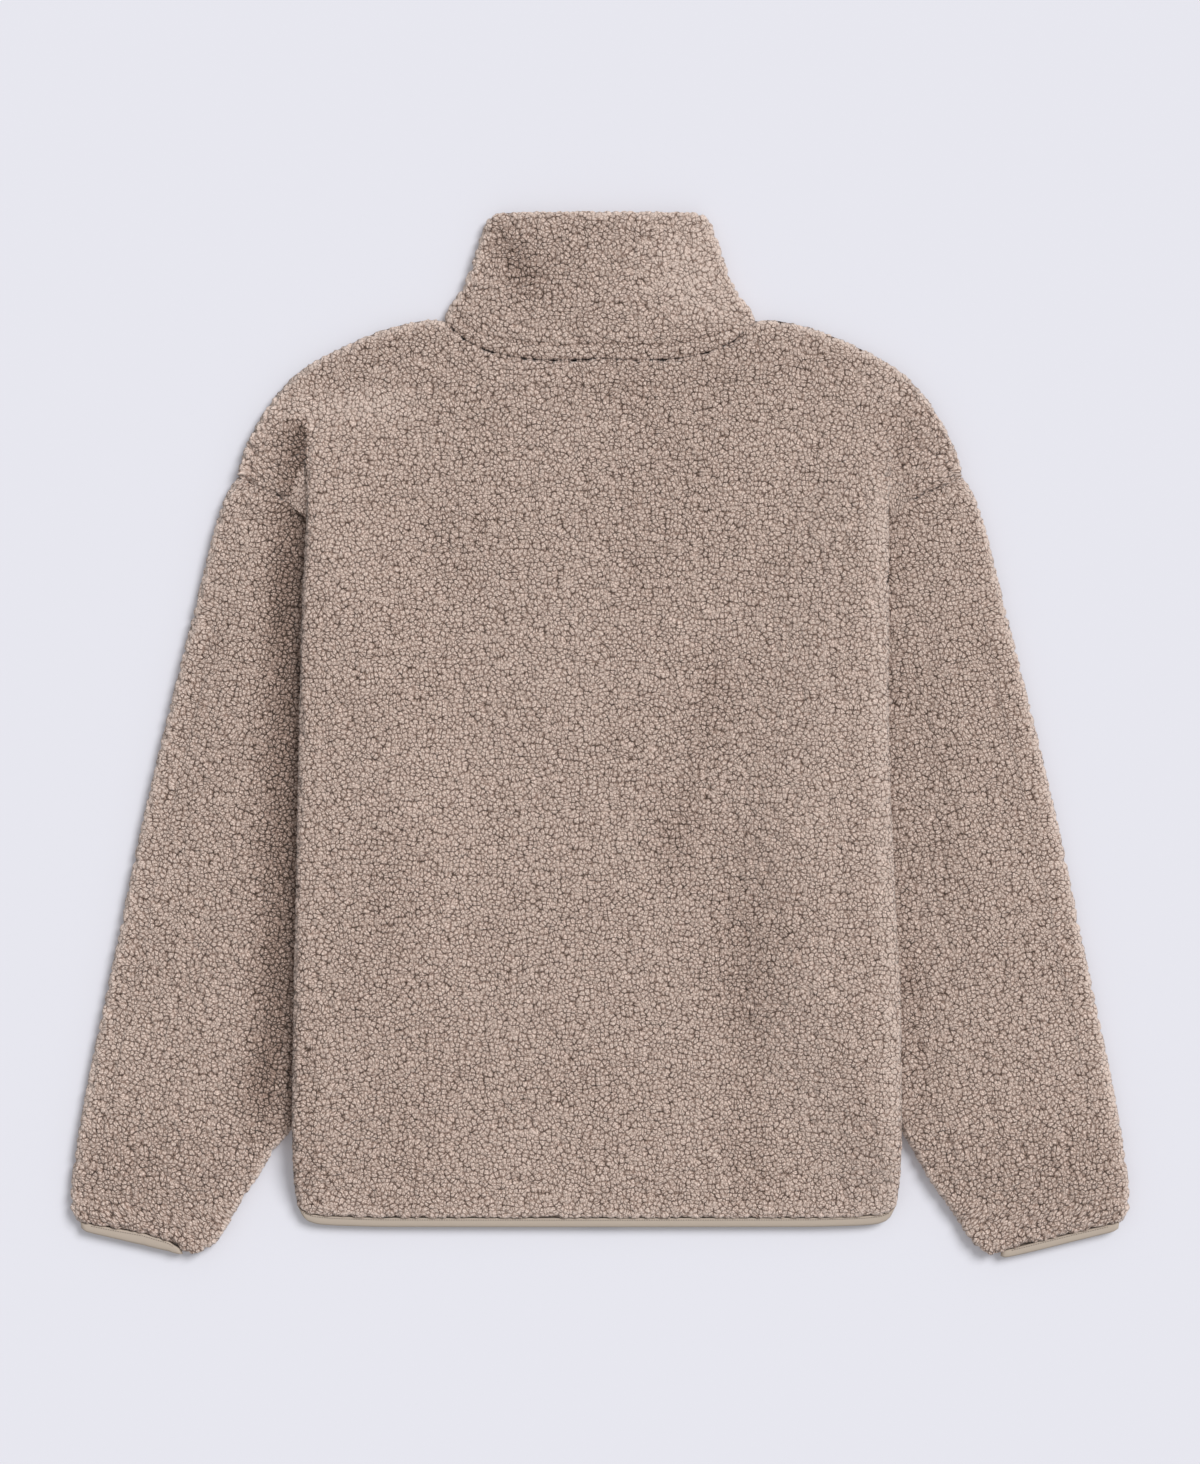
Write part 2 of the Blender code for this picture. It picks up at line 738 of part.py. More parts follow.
def hem_tape():
    outer = []
    inner = []
    for k, t in enumerate(TAPE_ROWS):
        half = TAPE_HALVES[k]
        ring_out = []
        ring_in = []

        def straight(side, share, way):
            x, y = hem_point(side, share, 0.0, t)
            ring_out.append((x, y, MIDDLE + way * half))
            ring_in.append((x, y, MIDDLE + way * TAPE_SLIT_HALF))

        def fold(side, edge, way):
            out_inset, in_inset, rise_out, rise_in = edge
            x, y = hem_point(side, 1.0, out_inset, t)
            ring_out.append((x, y, MIDDLE + way * rise_out * half))
            x, y = hem_point(side, 1.0, TAPE_WALL + in_inset, t)
            ring_in.append((x, y, MIDDLE + way * rise_in * TAPE_SLIT_HALF))

        def shares(side):
            necks = [x / fold_x(side, ARMHOLE_Y) for x in NECK_COLUMNS]
            return necks + list(SHARES)

        def front_shares(side):
            return [ZIP_LEDGE / fold_x(side, HEM_CORNER_Y)] + shares(side)

        for share in front_shares(-1):
            straight(-1, share, -1.0)
        for edge in reversed(HEM_FOLD_EDGE):
            fold(-1, edge, -1.0)
        for edge in HEM_FOLD_EDGE[1:]:
            fold(-1, edge, 1.0)
        for share in reversed(shares(-1)):
            straight(-1, share, 1.0)
        straight(1, 0.0, 1.0)
        for share in shares(1):
            straight(1, share, 1.0)
        for edge in reversed(HEM_FOLD_EDGE):
            fold(1, edge, 1.0)
        for edge in HEM_FOLD_EDGE[1:]:
            fold(1, edge, -1.0)
        for share in reversed(front_shares(1)):
            straight(1, share, -1.0)
        outer.append(ring_out)
        inner.append(ring_in)
    return band("hem_binding", outer, inner, False, TAPE_RGB, TAPE_ROUGHNESS)


hem_tape()

# Collar: one wall that runs from the zip round the neck and back to the zip
COLLAR_SHARES = [0.0] + [x / NECK_SIDE_X for x in NECK_COLUMNS[:-1]]
COLLAR_ROWS = (0.0, 3.0, 8.0, NECK_BAND_HEIGHT, 12.5, 30.0, 55.0, 80.0, 96.0, 103.0, 106.0)
COLLAR_TOP_FALLS = (0.3, 1.6)


def collar_point(side, share, t, face):
    """Flat point of the collar: share across, t from the neck seam to the top edge."""
    side_points = line_through(COLLAR_SIDE, 1)

    def neck(at):
        x = NECK_SIDE_X * at
        return (x, neck_line(x, face) + NECK_LIFT[face])

    def top(at):
        return (COLLAR_SIDE[-1][1] * at, read(COLLAR_TOP, at, face))

    def middle(at):
        a = neck(0.0)
        b = top(0.0)
        return (0.0, a[1] + (b[1] - a[1]) * at)

    def fold(at):
        x, y = walk(side_points, at)
        return (x, y + (neck(1.0)[1] - side_points[0][1]) * (1.0 - at))

    x, y = coons(share, t, middle, fold, neck, top)
    return side * x, y


def collar():
    outer = []
    inner = []
    last = len(COLLAR_ROWS)
    falls = {last - 2: COLLAR_TOP_FALLS[0], last - 1: COLLAR_TOP_FALLS[1]}
    groove_rows = (0, COLLAR_ROWS.index(NECK_BAND_HEIGHT))
    for k, height in enumerate(COLLAR_ROWS):
        t = height / COLLAR_ROWS[-1]
        top_fall = falls.get(k, 0.0)
        groove = NECK_GROOVE if k in groove_rows else 0.0
        ring_out = []
        ring_in = []

        def front(side, x_at):
            """Front point at a fixed distance from the middle, beside the zip."""
            share = x_at / abs(collar_point(1, 1.0, t, 2)[0])
            x, y = collar_point(side, share, t, 2)
            thin = x_at < ZIP_LEDGE + SAME
            edge = seam_fall(x_at - CHANNEL_HALF, SEAM_DEPTH, SEAM_REACH)
            ring_out.append((side * x_at, y, max(top_fall, edge)))
            ring_in.append((side * x_at, y, ZIP_TAPE_LOW_Z - LAYER_GAP if thin else WALL - top_fall))

        def add(side, share, face):
            x, y = collar_point(side, share, t, face)
            if face == 2:
                ring_out.append((x, y, top_fall))
                ring_in.append((x, y, WALL - top_fall))
            else:
                ring_out.append((x, y, 2 * WALL + LAYER_GAP - top_fall - groove))
                ring_in.append((x, y, WALL + LAYER_GAP + top_fall))

        def fold(side, o, i, ro, ri, way):
            face = 2 if way < 0 else 1
            width = abs(collar_point(1, 1.0, t, face)[0])
            x, y = collar_point(side, 1.0 - o / width, t, face)
            if ro == 0.0:
                y = (y + collar_point(side, 1.0, t, 3 - face)[1]) / 2
            drop = top_fall + (groove if way > 0 else 0.0)
            ring_out.append((x, y, MIDDLE + way * ro * (MIDDLE - drop)))
            x, y = collar_point(side, 1.0 - (WALL + i) / width, t, face)
            if ri == 0.0:
                other = collar_point(side, 1.0 - (WALL + i) / width, t, 3 - face)[1]
                y = (y + other) / 2
            ring_in.append((x, y, MIDDLE + way * ri * (LAYER_GAP / 2 + top_fall)))

        for x_at in ZIP_COLUMNS:
            front(-1, x_at)
        for share in COLLAR_SHARES[1:]:
            add(-1, share, 2)
        for edge in reversed(TUBE_EDGE[:3]):
            fold(-1, *edge, -1.0)
        for edge in TUBE_EDGE[1:3]:
            fold(-1, *edge, 1.0)
        for share in reversed(COLLAR_SHARES):
            add(-1, share, 1)
        for share in COLLAR_SHARES[1:]:
            add(1, share, 1)
        for edge in reversed(TUBE_EDGE[:3]):
            fold(1, *edge, 1.0)
        for edge in TUBE_EDGE[1:3]:
            fold(1, *edge, -1.0)
        for share in reversed(COLLAR_SHARES[1:]):
            add(1, share, 2)
        for x_at in reversed(ZIP_COLUMNS):
            front(1, x_at)
        outer.append(ring_out)
        inner.append(ring_in)
    return band("collar", outer, inner, False, FLEECE_RGB)


collar()


# Zip: two tapes sewn under the front edges, the closed chain, and the slider with its pull
def block(x_low, x_high, y_low, y_high, z_low, z_high):
    bm = bmesh.new()
    bmesh.ops.create_cube(bm, size=1.0)
    size = Vector((x_high - x_low, y_high - y_low, z_high - z_low)) * MM
    centre = Vector((x_high + x_low, y_high + y_low, z_high + z_low)) * MM / 2
    bmesh.ops.scale(bm, vec=size, verts=bm.verts[:])
    bmesh.ops.translate(bm, vec=centre, verts=bm.verts[:])
    return bm


def round_corners(bm, radius, segments):
    upright = [e for e in bm.edges if abs(e.verts[0].co.z - e.verts[1].co.z) > MM * 0.1]
    bmesh.ops.bevel(
        bm,
        geom=upright,
        offset=radius * MM,
        segments=segments,
        profile=0.5,
        affect="EDGES",
        material=-1,
    )


def cutter(name, bm):
    mesh = bpy.data.meshes.new(name)
    bm.to_mesh(mesh)
    bm.free()
    made = bpy.data.objects.new(name, mesh)
    made.hide_render = True
    made.display_type = "WIRE"
    cutters.objects.link(made)
    return made


def combine(target, other, operation):
    change = target.modifiers.new(operation.lower() + "_" + other.name, "BOOLEAN")
    change.operation = operation
    change.solver = "EXACT"
    change.object = other


for zip_side, side_name in ((-1, "left"), (1, "right")):
    near_x = zip_side * ZIP_TAPE_INNER_X
    far_x = zip_side * ZIP_TAPE_OUTER_X
    tape = block(
        min(near_x, far_x),
        max(near_x, far_x),
        ZIP_BOTTOM_Y,
        ZIP_TOP_Y,
        ZIP_TAPE_LOW_Z,
        ZIP_TAPE_HIGH_Z,
    )
    finish(tape, "zip_tape_" + side_name, TAPE_RGB, TAPE_ROUGHNESS)

chain = block(
    -CHAIN_HALF, CHAIN_HALF, ZIP_BOTTOM_Y, ZIP_TOP_Y - CHAIN_STOP, CHAIN_LOW_Z, CHAIN_HIGH_Z
)
finish(chain, "zip_chain", TAPE_RGB, TEETH_ROUGHNESS)

slider_plate = block(
    -SLIDER_WIDTH / 2,
    SLIDER_WIDTH / 2,
    SLIDER_Y - SLIDER_LENGTH / 2,
    SLIDER_Y + SLIDER_LENGTH / 2,
    SLIDER_LOW_Z,
    SLIDER_HIGH_Z,
)
round_corners(slider_plate, SLIDER_CORNER, SLIDER_CORNER_STEPS)
slider = finish(slider_plate, "zip_slider", METAL_RGB, METAL_ROUGHNESS, METAL_SHARE)
bridge = cutter(
    "bridge",
    block(
        -BRIDGE_HALF_WIDTH,
        BRIDGE_HALF_WIDTH,
        SLIDER_Y - BRIDGE_HALF_LENGTH,
        SLIDER_Y + BRIDGE_HALF_LENGTH,
        BRIDGE_LOW_Z,
        SLIDER_LOW_Z + BRIDGE_ROOT,
    ),
)
bridge_hole = cutter(
    "bridge_hole",
    block(
        -BRIDGE_HALF_WIDTH - CUT_MARGIN,
        BRIDGE_HALF_WIDTH + CUT_MARGIN,
        SLIDER_Y - BRIDGE_HOLE_HALF,
        SLIDER_Y + BRIDGE_HOLE_HALF,
        BRIDGE_HOLE_LOW_Z,
        SLIDER_LOW_Z,
    ),
)
combine(slider, bridge, "UNION")
combine(slider, bridge_hole, "DIFFERENCE")

pull_plate = block(
    -PULL_HALF_WIDTH,
    PULL_HALF_WIDTH,
    SLIDER_Y + PULL_HALF_THICK - PULL_LENGTH,
    SLIDER_Y + PULL_HALF_THICK,
    PIVOT_Z - PULL_HALF_THICK,
    PIVOT_Z + PULL_HALF_THICK,
)
pull_pivot = (0.0, SLIDER_Y, PIVOT_Z)
pull = finish(pull_plate, "zip_pull", METAL_RGB, METAL_ROUGHNESS, METAL_SHARE, pull_pivot)
pull_opening = cutter(
    "pull_opening",
    block(
        -PULL_OPENING_HALF,
        PULL_OPENING_HALF,
        SLIDER_Y - PULL_OPENING_LENGTH,
        SLIDER_Y - PULL_HALF_THICK,
        PIVOT_Z - CUT_MARGIN,
        PIVOT_Z + CUT_MARGIN,
    ),
)
combine(pull, pull_opening, "DIFFERENCE")
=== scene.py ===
import math
from functools import partial
import bmesh
import bpy
import numpy as np
from mathutils import Matrix, Vector


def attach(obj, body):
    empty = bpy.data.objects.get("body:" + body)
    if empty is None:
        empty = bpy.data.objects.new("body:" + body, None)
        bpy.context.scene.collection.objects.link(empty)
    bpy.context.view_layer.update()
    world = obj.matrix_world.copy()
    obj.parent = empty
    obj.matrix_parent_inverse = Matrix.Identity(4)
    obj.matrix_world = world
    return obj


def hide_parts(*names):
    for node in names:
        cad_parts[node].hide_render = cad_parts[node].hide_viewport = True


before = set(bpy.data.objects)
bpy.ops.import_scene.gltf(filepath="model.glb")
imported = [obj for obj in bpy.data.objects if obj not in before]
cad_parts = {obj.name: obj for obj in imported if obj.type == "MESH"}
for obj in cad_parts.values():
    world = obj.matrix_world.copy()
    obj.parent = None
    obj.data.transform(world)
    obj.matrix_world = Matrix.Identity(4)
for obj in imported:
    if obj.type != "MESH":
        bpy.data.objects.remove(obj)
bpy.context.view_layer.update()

# The surface and the light: a wide pale sheet under an even room light, with one broad light
# low beyond the upper right corner, so soft shadows fall to the lower left.
SURFACE_RGB = (0.80, 0.80, 0.865)
ROOM_STRENGTH = 0.50
SUN_STRENGTH = 0.50
SUN_ELEVATION = math.radians(48.0)
SUN_AZIMUTH = math.radians(42.0)
SUN_WIDTH = math.radians(28.0)


def set_sockets(tree, node, sockets):
    """Gives each input of a node its value, or links it to another node's output."""
    for socket, value in sockets.items():
        if isinstance(value, bpy.types.NodeSocket):
            tree.links.new(value, node.inputs[socket])
        else:
            node.inputs[socket].default_value = value


def add_node(tree, kind, sockets=None, **settings):
    """Adds a node with its settings and inputs."""
    node = tree.nodes.new(kind)
    for setting, value in settings.items():
        setattr(node, setting, value)
    set_sockets(tree, node, sockets or {})
    return node


def new_paint(name, sockets):
    """A new material, its node tree and its shader."""
    paint = bpy.data.materials.new(name)
    paint.use_nodes = True
    shader = paint.node_tree.nodes["Principled BSDF"]
    set_sockets(paint.node_tree, shader, sockets)
    return paint, paint.node_tree, shader


def as_piece(name, bm, paint=None):
    """The object that a finished bmesh becomes, at the origin."""
    mesh = bpy.data.meshes.new(name)
    bm.to_mesh(mesh)
    bm.free()
    if paint:
        mesh.materials.append(paint)
    piece = bpy.data.objects.new(name, mesh)
    bpy.context.scene.collection.objects.link(piece)
    return piece


surface_paint, surface_tree, surface_shader = new_paint(
    "pale_surface",
    {"Base Color": (*SURFACE_RGB, 1.0), "Roughness": 0.9, "Specular IOR Level": 0.1},
)
# seen from beneath, the sheet is clear and lets light up, so the underside can be looked at
surface_side = add_node(surface_tree, "ShaderNodeNewGeometry").outputs["Backfacing"]
surface_clear = add_node(surface_tree, "ShaderNodeBsdfTransparent").outputs[0]
surface_mix = add_node(
    surface_tree,
    "ShaderNodeMixShader",
    {"Fac": surface_side, 1: surface_shader.outputs[0], 2: surface_clear},
)
surface_end = surface_tree.nodes["Material Output"]
surface_tree.links.new(surface_mix.outputs[0], surface_end.inputs["Surface"])
surface_bm = bmesh.new()
bmesh.ops.create_grid(surface_bm, x_segments=2, y_segments=2, size=4.0)
surface = as_piece("studio_surface", surface_bm, surface_paint)
surface.visible_shadow = False
surface.visible_diffuse = False

world = bpy.data.worlds.new("soft_room")
bpy.context.scene.world = world
world.use_nodes = True
room = world.node_tree.nodes["Background"]
room.inputs["Color"].default_value = (1.0, 1.0, 1.0, 1.0)
room.inputs["Strength"].default_value = ROOM_STRENGTH

sun_data = bpy.data.lights.new("broad_light", "SUN")
sun_data.energy = SUN_STRENGTH * math.pi / math.sin(SUN_ELEVATION)
sun_data.angle = SUN_WIDTH
sun = bpy.data.objects.new("broad_light", sun_data)
sun_flat = Vector((math.cos(SUN_AZIMUTH), math.sin(SUN_AZIMUTH), 0.0)) * math.cos(SUN_ELEVATION)
sun_way = sun_flat + Vector((0.0, 0.0, math.sin(SUN_ELEVATION)))
sun.location = sun_way * 2.0
sun.rotation_euler = sun_way.to_track_quat("Z", "Y").to_euler()
bpy.context.scene.collection.objects.link(sun)

camera_data = bpy.data.cameras.new("camera")
camera_data.lens = 85.0
camera_data.sensor_width = 36.0
camera_data.clip_end = 20.0
camera = bpy.data.objects.new("camera", camera_data)
camera.location = (0.0, 0.0016, 2.70)
bpy.context.scene.collection.objects.link(camera)
bpy.context.scene.camera = camera
bpy.context.scene.view_settings.view_transform = "Standard"

# Back: one panel of boucle fleece from hem to neck seam, cut with dropped shoulders. It is a
# knitted base with a curled pile; its sides ride over the sleeves and fold into a pleat there.
# Lengths are in millimetres
MM = 0.001
WALL = 6.0
LAYER_GAP = 0.4
UPPER_FACE = 2 * WALL + LAYER_GAP
MIDDLE = WALL + LAYER_GAP / 2
SLEEVE_SLIT = 0.6
SLEEVE_MIDDLE = WALL + SLEEVE_SLIT / 2
# How far the sleeves beneath lift the body, and how it comes down beside and below them
LIFT = 2 * WALL + SLEEVE_SLIT + LAYER_GAP
LIFT_RAMP = 90.0
LIFT_MARGIN = 2.5
HEM_FADE_FROM = -385.0
HEM_FADE_LENGTH = 60.0
PLEAT_TOP_Y = 249.0
PLEAT_STEP = 3.0
ARMHOLE_Y = 175.0
SHOULDER_TIP = (283.0, 200.0)
CAP_END_X = 281.5
NECK_SIDE_X = 121.0
# Points of the fine outer surface: distance apart, how many turn round an edge, the share of the
# half width that is flat, and closer columns at the steep edge of the shoulder
SPACING = 1.94
TURN_POINTS = 6
FLAT_SHARE = 0.966
CAP_FINE_X = 250.0
CAP_FINE_COLUMNS = 46
LOWER_ROWS = round(551.0 / SPACING)
UPPER_ROWS = round(140.0 / SPACING)
# Cloth edges and seams: how far the surface rolls down, from how far in, the thinnest wall that
# it may leave, and the length below which a column rolls over in proportion
EDGE_ROLL = 1.4
SEAM_ROLL = 1.6
ROLL_REACH = 4.0
THIN_WALL = 0.2
SHORT_COLUMN = 30.0
# How much of a full fold's roundness the two sides of the pleat have
PLEAT_ROUND = 0.8
# Folded side of the body: height, distance of the left fold, distance of the right fold
SIDE_FOLD = [
    (-364, 236, 231), (-344, 238, 233), (-307, 238.7, 234),
    (-207, 237.5, 233), (-130, 236, 229), (20, 233, 224),
    (100, 231, 224), (175, 227.5, 224), (249, 226, 225),
]
# Upper edge: distance from the middle, height on the back, height on the front
UPPER_EDGE = [
    (0, 292.5, 237), (30, 291, 240), (58, 292.3, 251.5), (82, 297, 269),
    (102, 305, 290.5), (113, 314, 306.5), (121, 321, 321), (130, 322.5, 322.5),
    (153, 319, 319), (203, 300, 300), (234, 282, 282), (253.5, 261.5, 261.5),
    (266, 242.5, 242.5), (275.5, 223.5, 223.5), (281.5, 205, 205),
]
# Hem: share of the half width, height of the cloth edge, height of the tape's lower edge
HEM = [
    (0, -376.5, -384), (0.7, -376.3, -383.8), (0.86, -375.3, -383),
    (0.94, -373.8, -381.9), (0.98, -370.6, -379.4), (1, -366.3, -375.9),
]
HEM_CORNER_Y = -364.0
# Inner fold of a sleeve from underarm to cuff: height, left distance, right distance
UNDERARM_X = 179.0
UNDERARM_Y = -5.0
SLEEVE_INNER = [
    (-5, 179, 179), (-90, 171, 171), (-168.5, 177, 175),
    (-240, 205, 200), (-307, 239.5, 234), (-324.5, 254.3, 244),
    (-344, 266, 254.3), (-363.5, 279.2, 268.3), (-382, 289.4, 280.8),
    (-394.5, 297.5, 288.6), (-403, 309, 297.5),
]
# Soft folds of the back: start and end of the line, half width, height of the ridge
FOLD_FADE = 30.0
BACK_FOLDS = [
    (90, 75, 52, -60, 16, -1.6), (52, -60, 48, -125, 16, -1.4),
    (114, -55, 105, -160, 15, -1.4), (105, -160, 112, -360, 15, -1.2),
    (-150, 250, -120, 120, 22, -0.8), (160, 260, 150, 130, 20, -0.8),
]
# Painted shade on the back, and painted light where the darkness is below nought: start and end of
# the line, half width, darkness
BACK_SHADES = [
    (98, 60, 60, -70, 17, 0.18), (60, -60, 56, -115, 17, 0.22),
    (118, -60, 109, -160, 20, 0.14), (107, -160, 112, -360, 20, 0.22),
    (-230, -220, -224, -360, 10, 0.25), (-150, 200, -165, -330, 40, 0.12),
    (172, 170, 172, -330, 26, -0.12), (-258, 250, -150, 256, 13, -0.48),
    (-133, 306, -120, 298, 14, 0.12), (205, 284, 240, 258, 13, -0.22),
    (-40, 272, 40, 272, 22, 0.18),
]
# Painted shade in the left pleat and beside the right one: darkness, distance from the fold, half
# width; how far above the pleat it ends, and the length over which a shade fades
PLEAT_SHADE = {-1: (1.30, 0.0, 20.0), 1: (0.20, 14.0, 9.0)}
PLEAT_SHADE_OVER = 6.0
SHADE_FADE = 20.0
# Painted light strips on the cloth: along the right fold, up to a height, and along the hem
FOLD_LIGHT = (-0.42, 8.0, 9.0)
FOLD_LIGHT_TOP = 210.0
HEM_LIGHT = (-0.35, 7.0)
# Painted highlight along the outline: shade at an edge, how far in it reaches, and how much deeper
# the curls are there on the shoulder
EDGE_LIGHT = -0.90
EDGE_REACH = 4.5
EDGE_CURL = 0.9
# Painted shade in the neck seam's groove: darkness and half width
NECK_SHADE = (0.40, 1.5)


def smooth(t):
    t = np.clip(t, 0.0, 1.0)
    return t * t * (3.0 - 2.0 * t)


def bell(distance, half_width):
    """Falls from 1 at no distance to nearly 0 at twice the half width."""
    return np.exp(-((distance / half_width) ** 2))


def read(rows, at, column):
    """Smooth value of one column of a table where its first column is at the given value."""
    table = np.array(sorted(rows))
    x = table[:, 0]
    y = table[:, column]
    step = np.diff(x)
    slope = np.diff(y) / step
    knot = np.concatenate([slope[:1], np.zeros(len(x) - 2), slope[-1:]])
    product = slope[:-1] * slope[1:]
    total = np.where(product > 0.0, slope[:-1] + slope[1:], 1.0)
    knot[1:-1] = np.where(product > 0.0, 2.0 * product / total, 0.0)
    at = np.clip(at, x[0], x[-1])
    k = np.clip(np.searchsorted(x, at) - 1, 0, len(x) - 2)
    t = (at - x[k]) / step[k]
    return (
        y[k] * (2 * t ** 3 - 3 * t ** 2 + 1)
        + step[k] * knot[k] * (t ** 3 - 2 * t ** 2 + t)
        + y[k + 1] * (3 * t ** 2 - 2 * t ** 3)
        + step[k] * knot[k + 1] * (t ** 3 - t ** 2)
    )


def fold_x(side, y):
    return read(SIDE_FOLD, y, 1 if side < 0 else 2)


def below_pleat(y):
    return smooth((PLEAT_TOP_Y - y) / (PLEAT_TOP_Y - ARMHOLE_Y))


def support(side, x, y):
    """Height that the sleeves beneath lift the body by."""
    under = read(SLEEVE_INNER, y, 1 if side < 0 else 2)
    t = np.clip((y - UNDERARM_Y) / (ARMHOLE_Y - UNDERARM_Y), 0.0, 1.0)
    under = np.where(y > UNDERARM_Y, UNDERARM_X + (fold_x(side, ARMHOLE_Y) - UNDERARM_X) * t, under)
    across = smooth((np.abs(x) - under + LIFT_MARGIN + LIFT_RAMP) / LIFT_RAMP)
    return LIFT * across * below_pleat(y) * smooth((y - HEM_FADE_FROM) / HEM_FADE_LENGTH)


def fold_fall(inset):
    """How far a rounded fold has dropped at a distance in from its edge."""
    inset = np.clip(inset, 0.0, MIDDLE)
    return MIDDLE - np.sqrt(MIDDLE ** 2 - (MIDDLE - inset) ** 2)


def seam_fall(inset, depth):
    return depth * (1.0 - smooth(inset / ROLL_REACH))


def soft_folds(folds, x, y):
    """Ridges and troughs along short lines, fading out at both ends."""
    height = np.zeros_like(x)
    for x0, y0, x1, y1, half_width, rise in folds:
        length = math.hypot(x1 - x0, y1 - y0)
        ax = (x1 - x0) / length
        ay = (y1 - y0) / length
        along = (x - x0) * ax + (y - y0) * ay
        off = (x - x0) * ay - (y - y0) * ax
        ends = smooth((along + FOLD_FADE) / (2 * FOLD_FADE))
        ends = ends * smooth((length + FOLD_FADE - along) / (2 * FOLD_FADE))
        height += rise * ends * bell(off, half_width)
    return height


def half_columns(side, first_x):
    """Columns from the middle outwards: kind, share of the half width, inset from the fold."""
    fold = float(fold_x(side, ARMHOLE_Y))
    count = round((FLAT_SHARE * fold - first_x) / SPACING)
    columns = [("main", x / fold, 0.0) for x in np.linspace(first_x, FLAT_SHARE * fold, count)]
    columns += [("main", 1.0, inset) for inset in TURN_INSETS]
    count = round((CAP_FINE_X - fold - PLEAT_STEP) / SPACING)
    cap_x = np.linspace(fold + PLEAT_STEP, CAP_FINE_X, count)[:-1]
    end_x = np.linspace(CAP_FINE_X, CAP_END_X, CAP_FINE_COLUMNS)
    columns += [("cap", x, 0.0) for x in [fold + PLEAT_STEP / 2, *cap_x, *end_x]]
    return columns


def distance_out(side, kind, share, inset):
    """Distance of a column from the middle, above the armhole."""
    return share if kind == "cap" else share * float(fold_x(side, ARMHOLE_Y)) - inset


def neck_shade(x):
    """Strength of the painted shade in the neck seam, strong at the left and weak at the right."""
    return 1.0 - 0.75 * smooth((x + 10.0) / 60.0)


# Insets of points round the quarter turn of a fold, outermost last
TURN_INSETS = MIDDLE * (1.0 - np.cos(np.linspace(math.pi / 2, 0.0, TURN_POINTS)))


def body_column(side, kind, share, inset, face):
    """A body panel's column from hem to upper edge: outer and inner points, painted shade and
    light, and curl.
    """
    fold = float(fold_x(side, ARMHOLE_Y))
    slope = (SHOULDER_TIP[1] - ARMHOLE_Y) / (SHOULDER_TIP[0] - fold)
    x_high = distance_out(side, kind, share, inset)
    cap = kind == "cap"
    shoulder = x_high >= NECK_SIDE_X
    y_low = ARMHOLE_Y + (x_high - fold) * slope if cap else ARMHOLE_Y
    y_top = float(read(UPPER_EDGE, x_high, face))
    scale = min(1.0, (y_top - y_low) / SHORT_COLUMN)
    insets = TURN_INSETS if shoulder else np.linspace(MIDDLE, 0.0, TURN_POINTS)
    straight = np.linspace(y_low, y_top - MIDDLE * scale, UPPER_ROWS)
    upper = np.concatenate([straight, y_top - insets[1:] * scale])
    if cap:
        y = np.concatenate([np.full(LOWER_ROWS, y_low), upper])
        x = np.full_like(y, x_high)
    else:
        corner = float(fold_x(side, HEM_CORNER_Y))
        y_hem = float(read(HEM, (share * corner - inset) / corner, 1))
        y = np.concatenate([np.linspace(y_hem, ARMHOLE_Y, LOWER_ROWS, endpoint=False), upper])
        x = share * fold_x(side, np.minimum(y, ARMHOLE_Y)) - inset
    fall = fold_fall(y_top - y) if shoulder else seam_fall(y_top - y, SEAM_ROLL)
    if cap:
        step = smooth((x_high - fold) / PLEAT_STEP)
        lift = support(side, np.full_like(y, fold), y) * (1.0 - step)
        fall = fall + seam_fall(y - y_low, SEAM_ROLL)
        fall = fall + below_pleat(y) * (1.0 - step) * MIDDLE * PLEAT_ROUND
    else:
        lift = support(side, x, y)
        rounded = 1.0 - (1.0 - PLEAT_ROUND) * smooth((y - ARMHOLE_Y) / SHADE_FADE)
        fall = fall + below_pleat(y) * rounded * fold_fall(fold_x(side, y) - x)
        fall += seam_fall(y - y[0], EDGE_ROLL)
    fall = np.minimum(fall, WALL - THIN_WALL)
    # dark is painted shade laid into the colour, and painted light where it is below nought
    dark = soft_folds(BACK_SHADES, side * x, y)
    deep = np.ones_like(y)
    if shoulder:
        ahead = float(read(UPPER_EDGE, x_high + 1.0, face)) - y_top
        at_edge = bell((y_top - y) / math.hypot(1.0, ahead), EDGE_REACH)
        # painted highlight along the shoulder's edge
        dark = dark + EDGE_LIGHT * at_edge
        deep = deep + EDGE_CURL * at_edge
    elif face == 1:
        # painted shade in the neck seam
        dark = dark + NECK_SHADE[0] * bell(y_top - y, NECK_SHADE[1]) * neck_shade(side * x)
    if cap:
        # painted shade in the left pleat and beside the right one
        amount, out, half_width = PLEAT_SHADE[side]
        amount = amount * smooth((PLEAT_TOP_Y + PLEAT_SHADE_OVER - y) / SHADE_FADE)
        dark = dark + amount * bell(x_high - fold - out, half_width)
    else:
        if side > 0:
            # painted light along the right fold
            lit = FOLD_LIGHT[0] * smooth((FOLD_LIGHT_TOP - y) / (2 * SHADE_FADE))
            dark = dark + lit * bell(fold_x(side, y) - x - FOLD_LIGHT[1], FOLD_LIGHT[2])
        # painted light along the hem
        dark = dark + HEM_LIGHT[0] * bell(y - y[0], HEM_LIGHT[1])
    if face == 1:
        drape = 0.0 if cap else soft_folds(BACK_FOLDS, side * x, y)
        high = lift + UPPER_FACE - fall + drape
        low = lift + WALL + LAYER_GAP
    else:
        high = lift + fall
        low = lift + WALL
    outer = np.stack([side * x, y, high], axis=1)
    inner = np.stack([side * x, y, np.broadcast_to(low, y.shape)], axis=1)
    return outer, inner, dark, deep


